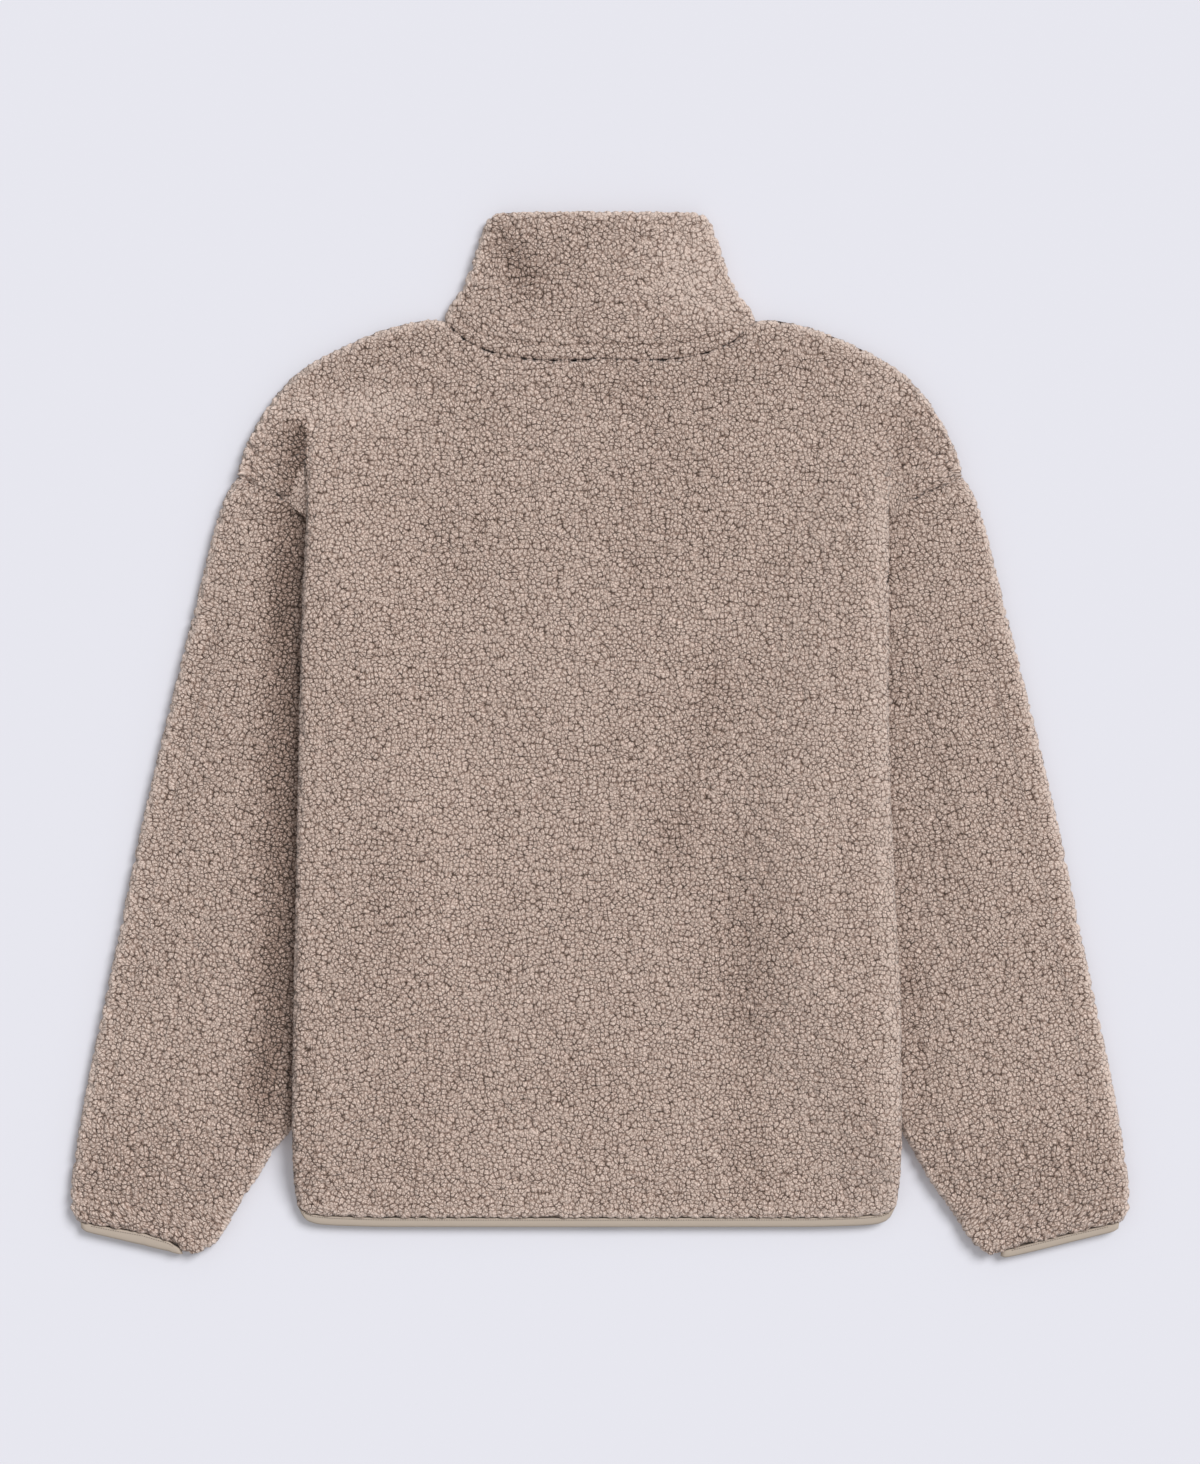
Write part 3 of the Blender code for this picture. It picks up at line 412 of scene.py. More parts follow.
def body_surface(columns, face):
    """Outer and inner points of a body panel, its painted shade and light, its curl, and which
    cells are cloth.
    """
    parts = zip(*(body_column(*column, face) for column in columns))
    outer, inner, shade, curl = (np.array(part) for part in parts)
    caps = np.array([kind == "cap" for _, kind, _, _ in columns])
    live = np.ones((len(columns) - 1, outer.shape[1] - 1), bool)
    live[caps[:-1] | caps[1:], :LOWER_ROWS] = False
    return outer, inner, shade, curl, live


def run_length(points, axis, base):
    """Distance along the cloth from a base line, over the grid of points."""
    steps = np.linalg.norm(np.diff(points, axis=axis), axis=2)
    pad = [(0, 0), (0, 0)]
    pad[axis] = (1, 0)
    total = np.pad(np.cumsum(steps, axis=axis), pad)
    return total - np.take(total, [base], axis=axis)


def body_cloth(outer, columns, face, middle_column, start_x):
    """Place on the flat cloth of each point of a body panel."""
    across = run_length(outer[:, :, ::2], 0, middle_column) + start_x
    along = run_length(outer[:, :, 1:], 1, LOWER_ROWS) + outer[:, LOWER_ROWS : LOWER_ROWS + 1, 1]
    # at the shoulder the cloth turns down square to the slanted edge
    for k, column in enumerate(columns):
        x_high = distance_out(*column)
        if x_high >= NECK_SIDE_X:
            beside = np.array([x_high - 0.5, x_high + 0.5])
            slope = float(np.diff(read(UPPER_EDGE, beside, face))[0])
            y = outer[k, LOWER_ROWS:, 1]
            turned = (along[k, LOWER_ROWS:] - y) / math.hypot(1.0, slope)
            across[k, LOWER_ROWS:] -= column[0] * slope * turned
            along[k, LOWER_ROWS:] = y + turned
    return np.stack([across, along], axis=2)


def add_attribute(mesh, name, values):
    """A number or a place for each point of a mesh."""
    kind, field = ("FLOAT", "value") if values.ndim == 1 else ("FLOAT_VECTOR", "vector")
    mesh.attributes.new(name, kind, "POINT").data.foreach_set(field, values.ravel())


def sew(name, outer, inner, cloth, pile=1.0, painted_shading=0.0, live=None, wrap=False, block=14):
    """A cloth piece as one closed shell: a fine outer surface and a coarser hidden inner one."""
    columns, rows = outer.shape[:2]
    bm = bmesh.new()
    bmesh.ops.create_grid(bm, x_segments=columns - 1, y_segments=rows - 1, size=1.0)
    bmesh.ops.translate(bm, vec=(1.0, 1.0, 0.0), verts=bm.verts[:])
    bmesh.ops.scale(bm, vec=((columns - 1) / 2, (rows - 1) / 2, 1.0), verts=bm.verts[:])
    if live is not None:
        spare = []
        for f in bm.faces:
            centre = f.calc_center_median()
            if not live[int(centre.x), int(centre.y)]:
                spare.append(f)
        bmesh.ops.delete(bm, geom=spare, context="FACES")
    edge = {(round(v.co.x), round(v.co.y)) for v in bm.verts if v.is_boundary}
    bmesh.ops.solidify(bm, geom=bm.faces[:], thickness=1.0)
    if wrap:
        ends = [f for f in bm.faces if len({round(v.co.x) for v in f.verts}) == 1]
        bmesh.ops.delete(bm, geom=ends, context="FACES")
    kept = {}
    welds = {}
    for v in bm.verts:
        i = round(v.co.x)
        j = round(v.co.y)
        if abs(v.co.z) < 0.5 or (i, j) in edge:
            continue
        first = kept.setdefault((i // block, j // block), v)
        if first is not v:
            welds[v] = first
    bmesh.ops.weld_verts(bm, targetmap=welds)
    piece = as_piece(name, bm)
    mesh = piece.data
    count = len(mesh.vertices)
    spots = np.empty(count * 3)
    mesh.vertices.foreach_get("co", spots)
    spots = spots.reshape(-1, 3)
    i = np.rint(spots[:, 0]).astype(int)
    j = np.rint(spots[:, 1]).astype(int)
    outside = np.abs(spots[:, 2]) < 0.5
    placed = np.where(outside[:, None], outer[i, j], inner[i, j]) * MM
    mesh.vertices.foreach_set("co", placed.ravel())
    spots = np.concatenate([cloth[i, j], np.zeros((count, 1))], axis=1) * MM
    add_attribute(mesh, "cloth", spots)
    full = np.broadcast_to(pile, (columns, rows))
    add_attribute(mesh, "pile", np.where(outside, full[i, j], 0.0))
    # painted shade and light of each point, read by the fleece's colour
    add_attribute(mesh, "painted_shading", np.broadcast_to(painted_shading, (columns, rows))[i, j])
    corners = np.empty(len(mesh.loops), int)
    mesh.loops.foreach_get("vertex_index", corners)
    mesh.uv_layers.new(name="UVMap").data.foreach_set("uv", spots[corners, :2].ravel())
    bm = bmesh.new()
    bm.from_mesh(mesh)
    if wrap:
        bmesh.ops.remove_doubles(bm, verts=bm.verts[:], dist=1e-6)
    bmesh.ops.recalc_face_normals(bm, faces=bm.faces[:])
    for f in bm.faces:
        f.smooth = True
    bm.to_mesh(mesh)
    bm.free()
    return piece


# The curls of the pile: lumps of 3 to 4 mm packed close, each with smaller curls on it. Scales
# are in cells for a metre of cloth, depths in metres
CURL_SCALE = 300.0
SMALL_CURL_SCALE = 540.0
CLUMP_SCALE = 185.0
PILE_DEPTH = 0.0032
FLOOR_CLEAR = 0.0002
# How the curls wander from an even pattern: scale and distance
WANDER = (60.0, 0.0040)
SMALL_WANDER = (420.0, 0.0013)


def node_maths(tree):
    """A function that adds one maths node to a tree and gives its output."""

    def maths(operation, *values, clamp=False):
        sockets = dict(enumerate(values))
        node = add_node(tree, "ShaderNodeMath", sockets, operation=operation, use_clamp=clamp)
        return node.outputs[0]

    return maths


def cloth_noise(tree, place, scale, detail, **more):
    """A flat noise at a place on the cloth."""
    sockets = {"Vector": place, "Scale": scale, "Detail": detail, **more}
    return add_node(tree, "ShaderNodeTexNoise", sockets, noise_dimensions="2D").outputs


def cells(tree, place, feature, scale):
    """Distance in a flat cell pattern at a place on the cloth."""
    sockets = {"Vector": place, "Scale": scale}
    kind = "ShaderNodeTexVoronoi"
    node = add_node(tree, kind, sockets, voronoi_dimensions="2D", feature=feature)
    return node.outputs["Distance"]


def wander(tree, place, scale, amount, detail=0.0):
    """Nodes that shift a place on the cloth by a soft random amount."""
    shift = {0: cloth_noise(tree, place, scale, detail)["Color"], 1: (0.5, 0.5, 0.5)}
    centred = add_node(tree, "ShaderNodeVectorMath", shift, operation="SUBTRACT")
    shift = {0: centred.outputs[0], 1: (amount, amount, 0.0), 2: place}
    return add_node(tree, "ShaderNodeVectorMath", shift, operation="MULTIPLY_ADD").outputs[0]


def lumps(maths, distance, width):
    """Rounded lumps that fall off from the middle of each cell."""
    fall = maths("POWER", maths("MULTIPLY", distance, width), 2.0)
    return maths("SUBTRACT", 1.0, fall, clamp=True)


def curl_pattern(tree, place):
    """Nodes for the curls: rounded lumps, small curls on them and openness between them."""
    maths = node_maths(tree)
    moved = wander(tree, wander(tree, place, *WANDER), *SMALL_WANDER, 1.0)
    lump = lumps(maths, cells(tree, moved, "F1", CURL_SCALE), 1.25)
    gaps = cells(tree, moved, "DISTANCE_TO_EDGE", CURL_SCALE)
    small = lumps(maths, cells(tree, moved, "F1", SMALL_CURL_SCALE), 1.25)
    seams = cells(tree, moved, "DISTANCE_TO_EDGE", SMALL_CURL_SCALE)
    small = maths("MULTIPLY", small, maths("MULTIPLY", seams, 4.0, clamp=True))
    width = cloth_noise(tree, place, 140.0, 1.0)["Fac"]
    # where this noise is high, neighbouring lumps have grown together
    joined = maths("MULTIPLY", maths("SUBTRACT", width, 0.38), 3.2, clamp=True)
    opened = maths("MULTIPLY", gaps, 4.5, clamp=True)
    opened = maths("MAXIMUM", opened, maths("MULTIPLY", joined, 0.75))
    return lump, small, opened


def weighed(maths, parts):
    """Sum of several values, each with its weight."""
    total = 0.0
    for value, weight in parts:
        total = maths("MULTIPLY_ADD", value, weight, total)
    return total


def stored(tree, name, kind):
    sockets = {"Name": name}
    return add_node(tree, "GeometryNodeInputNamedAttribute", sockets, data_type=kind).outputs[0]


pile_tree = bpy.data.node_groups.new("curled_pile", "GeometryNodeTree")
for way in ("INPUT", "OUTPUT"):
    pile_tree.interface.new_socket(name="Geometry", in_out=way, socket_type="NodeSocketGeometry")
pile_maths = node_maths(pile_tree)
clump_place = wander(pile_tree, stored(pile_tree, "cloth", "FLOAT_VECTOR"), *WANDER)
clump = lumps(pile_maths, cells(pile_tree, clump_place, "F1", CLUMP_SCALE), 1.15)
clump = pile_maths("MULTIPLY_ADD", clump, PILE_DEPTH, -0.8 * PILE_DEPTH)
clump = pile_maths("MULTIPLY", clump, stored(pile_tree, "pile", "FLOAT"))
pile_way = add_node(pile_tree, "GeometryNodeInputNormal").outputs[0]
pile_push = {0: pile_way, "Scale": clump}
pile_push = add_node(pile_tree, "ShaderNodeVectorMath", pile_push, operation="SCALE")
pile_in = add_node(pile_tree, "NodeGroupInput").outputs[0]
raised = {"Geometry": pile_in, "Offset": pile_push.outputs[0]}
raised = add_node(pile_tree, "GeometryNodeSetPosition", raised)
# no curl reaches below the surface that the jacket lies on
pile_spot = {0: add_node(pile_tree, "GeometryNodeInputPosition").outputs[0]}
pile_spot = add_node(pile_tree, "ShaderNodeSeparateXYZ", pile_spot).outputs
clear_z = pile_maths("MAXIMUM", pile_spot["Z"], FLOOR_CLEAR)
clear_spot = {"X": pile_spot["X"], "Y": pile_spot["Y"], "Z": clear_z}
clear_spot = add_node(pile_tree, "ShaderNodeCombineXYZ", clear_spot)
pressed = {"Geometry": raised.outputs[0], "Position": clear_spot.outputs[0]}
pressed = add_node(pile_tree, "GeometryNodeSetPosition", pressed)
add_node(pile_tree, "NodeGroupOutput", {0: pressed.outputs[0]})


def grow_pile(piece):
    """Raises the curls on the outer surface of a piece and keeps the result as its mesh."""
    change = piece.modifiers.new("pile", "NODES")
    change.node_group = pile_tree
    seen = bpy.context.evaluated_depsgraph_get()
    grown = bpy.data.meshes.new_from_object(piece.evaluated_get(seen))
    piece.modifiers.remove(change)
    plain = piece.data
    piece.data = grown
    bpy.data.meshes.remove(plain)
    grown.name = piece.name


def add_bump(tree, shader, height, distance, strength):
    """Relief of a shader's surface, with the distance in metres."""
    bump = {"Height": height, "Distance": distance, "Strength": strength}
    bump = add_node(tree, "ShaderNodeBump", bump)
    set_sockets(tree, shader, {"Normal": bump.outputs["Normal"]})


# Colours of the fleece along its tone: painted shade deep between the curls, the cloth's own
# colour, and a painted highlight on the curls' tops
FLEECE_TONES = [
    (0.20, (0.075, 0.046, 0.033)), (0.60, (0.440, 0.308, 0.250)), (1, (0.93, 0.755, 0.665)),
]
fleece, fleece_tree, fleece_shader = new_paint(
    "boucle_fleece",
    {"Roughness": 0.95, "Specular IOR Level": 0.15, "Sheen Weight": 0.35, "Sheen Roughness": 0.4},
)
fleece_maths = node_maths(fleece_tree)
fleece_place = add_node(fleece_tree, "ShaderNodeUVMap", uv_map="UVMap").outputs[0]
lump, small, opened = curl_pattern(fleece_tree, fleece_place)
# single strands show as thin wandering ridges on the curls
strand = cloth_noise(fleece_tree, fleece_place, 760.0, 2.0, Roughness=0.6)["Fac"]
strand = fleece_maths("ABSOLUTE", fleece_maths("SUBTRACT", strand, 0.5))
strand = fleece_maths("SUBTRACT", 1.0, fleece_maths("MULTIPLY", strand, 6.5), clamp=True)
# the cloth is a little lighter or darker from place to place, and takes the painted shade and light
# laid on each piece
patch = cloth_noise(fleece_tree, fleece_place, 9.0, 3.0)["Fac"]
patch = fleece_maths("SUBTRACT", patch, 0.5)
painted_shading = add_node(fleece_tree, "ShaderNodeAttribute", attribute_name="painted_shading").outputs["Fac"]
# the tone carries painted shade between the curls and painted highlights on their tops, random
# patches, and the painted shade and light of each piece
tone = [(lump, 0.30), (small, 0.34), (opened, 0.42), (strand, 0.12), (patch, 0.12), (painted_shading, -0.30)]
tone = weighed(fleece_maths, tone)
ramp = add_node(fleece_tree, "ShaderNodeValToRGB", {"Fac": tone})
ramp.color_ramp.elements.new(FLEECE_TONES[1][0])
for element, (position, colour) in zip(ramp.color_ramp.elements, FLEECE_TONES):
    element.position = position
    element.color = (*colour, 1.0)
relief = [(lump, 0.6), (small, 0.3), (opened, 0.4), (strand, 0.28)]
set_sockets(fleece_tree, fleece_shader, {"Base Color": ramp.outputs["Color"]})
add_bump(fleece_tree, fleece_shader, weighed(fleece_maths, relief), 0.0012, 1.0)


def fit(piece, node=None):
    """Puts a finished piece on the garment, in the place of its node."""
    if node:
        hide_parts(node)
    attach(piece, "garment")


def finish_fleece(piece, node):
    grow_pile(piece)
    piece.data.materials.clear()
    piece.data.materials.append(fleece)
    fit(piece, node)


left_half = [(-1, *column) for column in reversed(half_columns(-1, SPACING))]
right_half = [(1, *column) for column in half_columns(1, SPACING)]
columns = left_half + [(1, "main", 0.0, 0.0)] + right_half
outer, inner, shade, curl, live = body_surface(columns, 1)
cloth = body_cloth(outer, columns, 1, len(left_half), 0.0)
back = sew("jacket_back", outer, inner, cloth, curl, shade, live)
finish_fleece(back, "back")

# Fronts: two panels of the same fleece, face down, with their inner edges along the zip.
ZIP_LEDGE = 14.4
ZIP_LEDGE_Z = 4.6
CHANNEL_HALF = 7.0
ZIP_EDGE_ROLL = 1.2
for side, side_name in ((-1, "left"), (1, "right")):
    columns = [(side, *column) for column in half_columns(side, CHANNEL_HALF)][::side]
    outer, inner, _, curl, live = body_surface(columns, 2)
    out = np.abs(outer[:, :, 0])
    inner[:, :, 2] = np.where(out < ZIP_LEDGE, ZIP_LEDGE_Z, inner[:, :, 2])
    edge_fall = seam_fall(out - CHANNEL_HALF, ZIP_EDGE_ROLL)
    outer[:, :, 2] = np.maximum(outer[:, :, 2], np.where(out < ZIP_LEDGE, edge_fall, 0.0))
    zip_column = len(columns) - 1 if side < 0 else 0
    cloth = body_cloth(outer, columns, 2, zip_column, side * CHANNEL_HALF)
    front = sew("jacket_front_" + side_name, outer, inner, cloth, curl, live=live)
    finish_fleece(front, "front_" + side_name)

# Sleeves: flat tubes of the same fleece, lying beside the body with their inner part under it.
# Each is one piece folded at its outer edge and seamed at its inner edge.
# Outer fold of a sleeve: height, distance from the middle
SLEEVE_OUTER = [
    (200, 283), (182.5, 293), (104.5, 314), (-51.5, 352.6), (-168.5, 377.5),
    (-285.5, 401.7), (-340, 410.6), (-363.5, 412.6), (-374, 412), (-379, 407),
]
# Cloth edge at the cuff from outer fold to inner fold: distance from the middle, height
CUFF_EDGE = {
    -1: [
        (407, -379), (382, -383.8), (356.5, -388), (337, -394),
        (326, -401), (318, -404), (309, -403),
    ],
    1: [
        (407, -379), (367, -388.4), (341.6, -394.7), (316, -401.3),
        (308.5, -404.3), (303, -405), (297.5, -403),
    ],
}
SEAM_GAP = 0.4
ARMHOLE_TUCK = 9.0
SLEEVE_BULGE = 3.0
BULGE_REACH = 40.0
BULGE_CLEAR = 10.0
BULGE_END_Y = -375.0
ARMHOLE_ROLL = 1.3
CUFF_ROLL = 1.8
# How much longer the way round a fold is than straight out, as a share of its radius
TURN_EXTRA = 0.571
SLEEVE_COLUMNS = 92
SLEEVE_ROWS = 300
# Painted shade on a sleeve beside the body: depth of the shade and its reach, left and right; it
# moves out below a height, ends at another, and is weaker right at the body
BESIDE_SHADE = {-1: (1.0, 28.0), 1: (0.14, 14.0)}
BESIDE_OUT = (12.0, -200.0, 80.0)
BESIDE_END = (-340.0, 75.0)
BESIDE_CORE = (0.4, 5.0)
# Painted shade along the armhole seam, and the darker end at the cuff: shade, place and reach
ARMHOLE_SHADE = (0.20, 3.0)
CUFF_SHADE = (0.13, -270.0, 70.0)
INNER_EDGE_TOP = -300.0
# Other places of painted shade and light on a sleeve, and its soft folds: as for the back
SLEEVE_SHADES = {
    -1: [(247, 130, 251, 70, 9, 0.45), (258, -150, 262, -215, 10, 0.20)],
    1: [(240, -170, 246, -215, 10, 0.25), (275, 160, 285, 140, 14, 0.15)],
}
SLEEVE_FOLDS = {
    -1: [(300, 100, 372, -330, 14, -1.2), (268, -60, 330, -330, 12, 1)],
    1: [(300, 60, 378, -330, 14, -1.2), (262, 90, 318, -330, 12, 1)],
}


def line_through(rows, column):
    """Smooth line of flat points, from the first row of a table to its last."""
    heights = np.linspace(rows[0][0], rows[-1][0], 61)
    return np.stack([read(rows, heights, column), heights], axis=1)


def line_run(line):
    """Distance along a line to each of its points."""
    return np.concatenate([[0.0], np.cumsum(np.linalg.norm(np.diff(line, axis=0), axis=1))])


def walk(line, share):
    """Points at shares of the length of a line through flat points."""
    line = np.array(line)
    run = line_run(line)
    at = np.asarray(share) * run[-1]
    return np.stack([np.interp(at, run, line[:, 0]), np.interp(at, run, line[:, 1])], axis=-1)


def coons(share, t, outer_at, inner_at, start_at, end_at):
    """Flat points of a patch held by four boundary lines."""
    s = share[..., None]
    r = t[..., None]
    blend = (1 - s) * outer_at(t) + s * inner_at(t) + (1 - r) * start_at(share) + r * end_at(share)
    zero = np.zeros(())
    one = np.ones(())
    corners = (1 - s) * ((1 - r) * outer_at(zero) + r * outer_at(one))
    return blend - corners - s * ((1 - r) * inner_at(zero) + r * inner_at(one))


def plan_widths(plan, rows):
    """Width of a flat plan along each of its rows."""
    shares = np.broadcast_to(np.linspace(0.0, 1.0, 25)[:, None], (25, rows))
    return np.linalg.norm(np.diff(plan(shares), axis=0), axis=2).sum(axis=0)


def tube_insets(widths, radius, count):
    """Insets from a flat tube's first fold across its width, one row for each width."""
    bend = radius * (1.0 - np.cos(np.linspace(0.0, math.pi / 2, TURN_POINTS)))
    share = np.linspace(0.0, 1.0, count)[1:-1]
    rows = []
    for width in widths:
        flat = radius + (width - 2 * radius) * share
        rows.append(np.concatenate([bend, flat, width - bend[::-1]]))
    return np.array(rows).T


def fold_rise(inset, width, radius):
    """Share of the half thickness of a flat tube at an inset from its first fold."""
    near = np.clip(np.minimum(inset, width - inset) / radius, 0.0, 1.0)
    return np.sqrt(1.0 - (1.0 - near) ** 2)


def unrolled(inset, radius):
    """Distance along the cloth round a fold and on across the flat."""
    bent = radius * np.arccos(1.0 - np.clip(inset / radius, 0.0, 1.0))
    return bent + np.maximum(inset - radius, 0.0)


def ring(flat, top, bottom):
    """Grid round a flat tube: from the seam along the bottom to the fold, then along the top."""
    upper = np.concatenate([flat, top[..., None]], axis=2)
    lower = np.concatenate([flat, bottom[..., None]], axis=2)
    return np.concatenate([lower[::-1], upper[1:]], axis=0)


for side, side_name in ((-1, "left"), (1, "right")):
    outer_line = line_through(SLEEVE_OUTER, 1)
    outer_line[0] = SHOULDER_TIP
    inner_line = line_through(sorted(SLEEVE_INNER, reverse=True), 1 if side < 0 else 2)
    armhole_x = float(fold_x(side, ARMHOLE_Y))
    slope = (SHOULDER_TIP[1] - ARMHOLE_Y) / (SHOULDER_TIP[0] - armhole_x)
    tuck = (armhole_x - ARMHOLE_TUCK, ARMHOLE_Y - ARMHOLE_TUCK * slope)
    armhole_line = [outer_line[0], tuck, inner_line[0]]
    along = np.linspace(0.0, 1.0, SLEEVE_ROWS)

    sleeve_lines = (outer_line, inner_line, armhole_line, CUFF_EDGE[side])
    sleeve_edges = [partial(walk, line) for line in sleeve_lines]

    def sleeve_plan(share):
        flat = coons(share, np.broadcast_to(along, share.shape), *sleeve_edges)
        return flat * (side, 1.0)

    widths = plan_widths(sleeve_plan, SLEEVE_ROWS)
    insets = tube_insets(widths, SLEEVE_MIDDLE, SLEEVE_COLUMNS)
    flat = sleeve_plan(insets / widths)
    x = np.abs(flat[:, :, 0])
    y = flat[:, :, 1]
    clear = smooth((x - fold_x(side, y) - BULGE_CLEAR) / BULGE_REACH)
    across = smooth(np.minimum(insets, widths - insets) / BULGE_REACH)
    down = smooth((SHOULDER_TIP[1] - y) / BULGE_REACH) * smooth((y - BULGE_END_Y) / BULGE_REACH)
    folds = soft_folds(SLEEVE_FOLDS[side], x, y) * clear
    bulge = SLEEVE_BULGE * clear * across * down + folds * across
    run = run_length(flat, 1, 0)
    ends = seam_fall(run, ARMHOLE_ROLL) + seam_fall(run[:, -1:] - run, CUFF_ROLL)
    rise = fold_rise(insets, widths, SLEEVE_MIDDLE)
    half = SLEEVE_MIDDLE - ends
    slit = SLEEVE_SLIT / 2
    fine = ring(flat, SLEEVE_MIDDLE + rise * (half + bulge), SLEEVE_MIDDLE - rise * half)
    hidden = ring(
        sleeve_plan(np.clip(insets, WALL, widths - WALL) / widths),
        SLEEVE_MIDDLE + rise * (slit + bulge),
        SLEEVE_MIDDLE - rise * slit,
    )
    # the cloth coordinates follow the outer fold, and the turn round it
    axis = outer_line[-1] - outer_line[0]
    axis = axis / np.linalg.norm(axis)
    away = np.abs(x - np.interp(-y, -outer_line[:, 1], outer_line[:, 0])) * abs(axis[1])
    away += SLEEVE_MIDDLE * TURN_EXTRA
    u = np.where(insets < 3 * SLEEVE_MIDDLE, unrolled(insets, SLEEVE_MIDDLE), away)
    v = (x - outer_line[0][0]) * axis[0] + (y - outer_line[0][1]) * axis[1]
    lower_cloth = np.stack([-u, v], axis=2)
    upper_cloth = np.stack([u, v], axis=2)
    cloth = np.concatenate([lower_cloth[::-1], upper_cloth[1:]], axis=0)
    # painted shade beside the body, less so right at its edge, and at the armhole; painted light
    # along the folds
    depth, reach = BESIDE_SHADE[side]
    out = BESIDE_OUT[0] * smooth((BESIDE_OUT[1] - y) / BESIDE_OUT[2])
    off = np.abs(x - fold_x(side, y) - out)
    beside = np.exp(-((off / reach) ** 2.5))
    beside = beside * smooth((ARMHOLE_Y + SHADE_FADE - y) / SHADE_FADE)
    beside = beside * smooth((y - BESIDE_END[0]) / BESIDE_END[1])
    beside = beside * (1.0 - BESIDE_CORE[0] * bell(off, BESIDE_CORE[1]))
    dark = depth * beside + ARMHOLE_SHADE[0] * bell(run, ARMHOLE_SHADE[1])
    inner_edge = bell(widths - insets, EDGE_REACH) * smooth((INNER_EDGE_TOP - y) / SHADE_FADE)
    dark = dark + EDGE_LIGHT * (bell(insets, EDGE_REACH) + inner_edge)
    dark = dark + CUFF_SHADE[0] * smooth((CUFF_SHADE[1] - y) / CUFF_SHADE[2])
    dark = dark + soft_folds(SLEEVE_SHADES[side], x, y)
    painted_shading = np.concatenate([np.zeros_like(dark), dark[1:]], axis=0)
    sleeve = sew("jacket_sleeve_" + side_name, fine, hidden, cloth, painted_shading=painted_shading, wrap=True)
    finish_fleece(sleeve, "sleeve_" + side_name)

# Collar: one tall stand collar of the same fleece, from the zip round the neck and back, lying
# flat. Its lower edge is a flattened band between the neck seam and a line of stitches.
# Folded side of the collar: height, distance from the middle
COLLAR_SIDE = [
    (321.7, 121), (328, 120), (338, 113), (356.5, 102.5),
    (375, 96), (394, 89.5), (401, 86), (405, 81),
]
# Top edge of the collar: share of the half width, height at the back, height at the front
COLLAR_TOP = [
    (0, 406.3, 350), (0.3, 406.3, 353), (0.6, 406.2, 368),
    (0.85, 405.8, 392), (1, 405, 405),
]
COLLAR_HEIGHT = 113.5
COLLAR_COLUMNS = 62
COLLAR_ROWS = 92
# Height of the dome on the collar's back, how far the collar leans to the left, and the heights
# over which both come in
COLLAR_DOME = 2.6
DOME_REACH = 50.0
COLLAR_LEAN = -1.2
LEAN_REACH = 25.0
TOP_RIM = 3.0
# The band: its height, how much of the pile it keeps, and the depth and half width of the
# crevices at the neck seam and at the stitches
NECK_BAND = 11.5
BAND_PILE = 0.35
SEAM_CREVICE = (1.1, 2.0)
STITCH_CREVICE = (1.3, 1.7)
# Painted shade in the same crevices: darkness and half width
SEAM_SHADE = (0.60, 1.4)
STITCH_SHADE = (0.48, 1.3)
COLLAR_FOLDS = [(-92, 396, -52, 342, 12, -2.2)]
# Painted shade and light on the collar: start and end of the line, half width, darkness
COLLAR_SHADES = [
    (-82, 394, -50, 345, 16, 0.62), (-40, 385, -40, 330, 26, 0.12),
    (70, 400, 68, 330, 36, -0.52), (80, 340, 112, 320, 20, -0.36),
]
collar_side_line = line_through(COLLAR_SIDE, 1)


def collar_point(share, face):
    """Flat points of the collar at a share of the half width, for all rows."""

    def neck(at):
        x = NECK_SIDE_X * at
        return np.stack([x, read(UPPER_EDGE, x, face)], axis=-1)

    def top(at):
        return np.stack([COLLAR_SIDE[-1][1] * at, read(COLLAR_TOP, at, face)], axis=-1)

    def middle(at):
        low = neck(np.zeros(()))[1]
        high = top(np.zeros(()))[1]
        return np.stack([np.zeros_like(at), low + (high - low) * at], axis=-1)

    def fold(at):
        points = walk(collar_side_line, at)
        points[..., 1] += (neck(np.ones(()))[1] - collar_side_line[0][1]) * (1.0 - at)
        return points

    return coons(share, row_share, middle, fold, neck, top)


def at_fold(mix, inset):
    """Flat points on the side fold, on the way from front to back."""
    front = collar_point(1.0 - inset / width_front, 2)
    return (1 - mix) * front + mix * collar_point(1.0 - inset / width_back, 1)


rim_angle = np.linspace(0.0, math.pi / 2, TURN_POINTS)[1:]
rim_share = TOP_RIM / COLLAR_HEIGHT
row_share = np.linspace(0.0, 1.0 - rim_share, COLLAR_ROWS)
row_share = np.concatenate([row_share, 1.0 - rim_share * (1.0 - np.sin(rim_angle))])
rim_fall = np.concatenate([np.zeros(COLLAR_ROWS), TOP_RIM * (1.0 - np.cos(rim_angle))])
rim_inside = np.minimum(rim_fall, 2.0)
height = row_share * COLLAR_HEIGHT
groove = SEAM_CREVICE[0] * bell(height, SEAM_CREVICE[1])
groove = groove + STITCH_CREVICE[0] * bell(height - NECK_BAND, STITCH_CREVICE[1])
width_front = collar_point(np.ones_like(row_share), 2)[:, 0]
width_back = collar_point(np.ones_like(row_share), 1)[:, 0]
halves = []
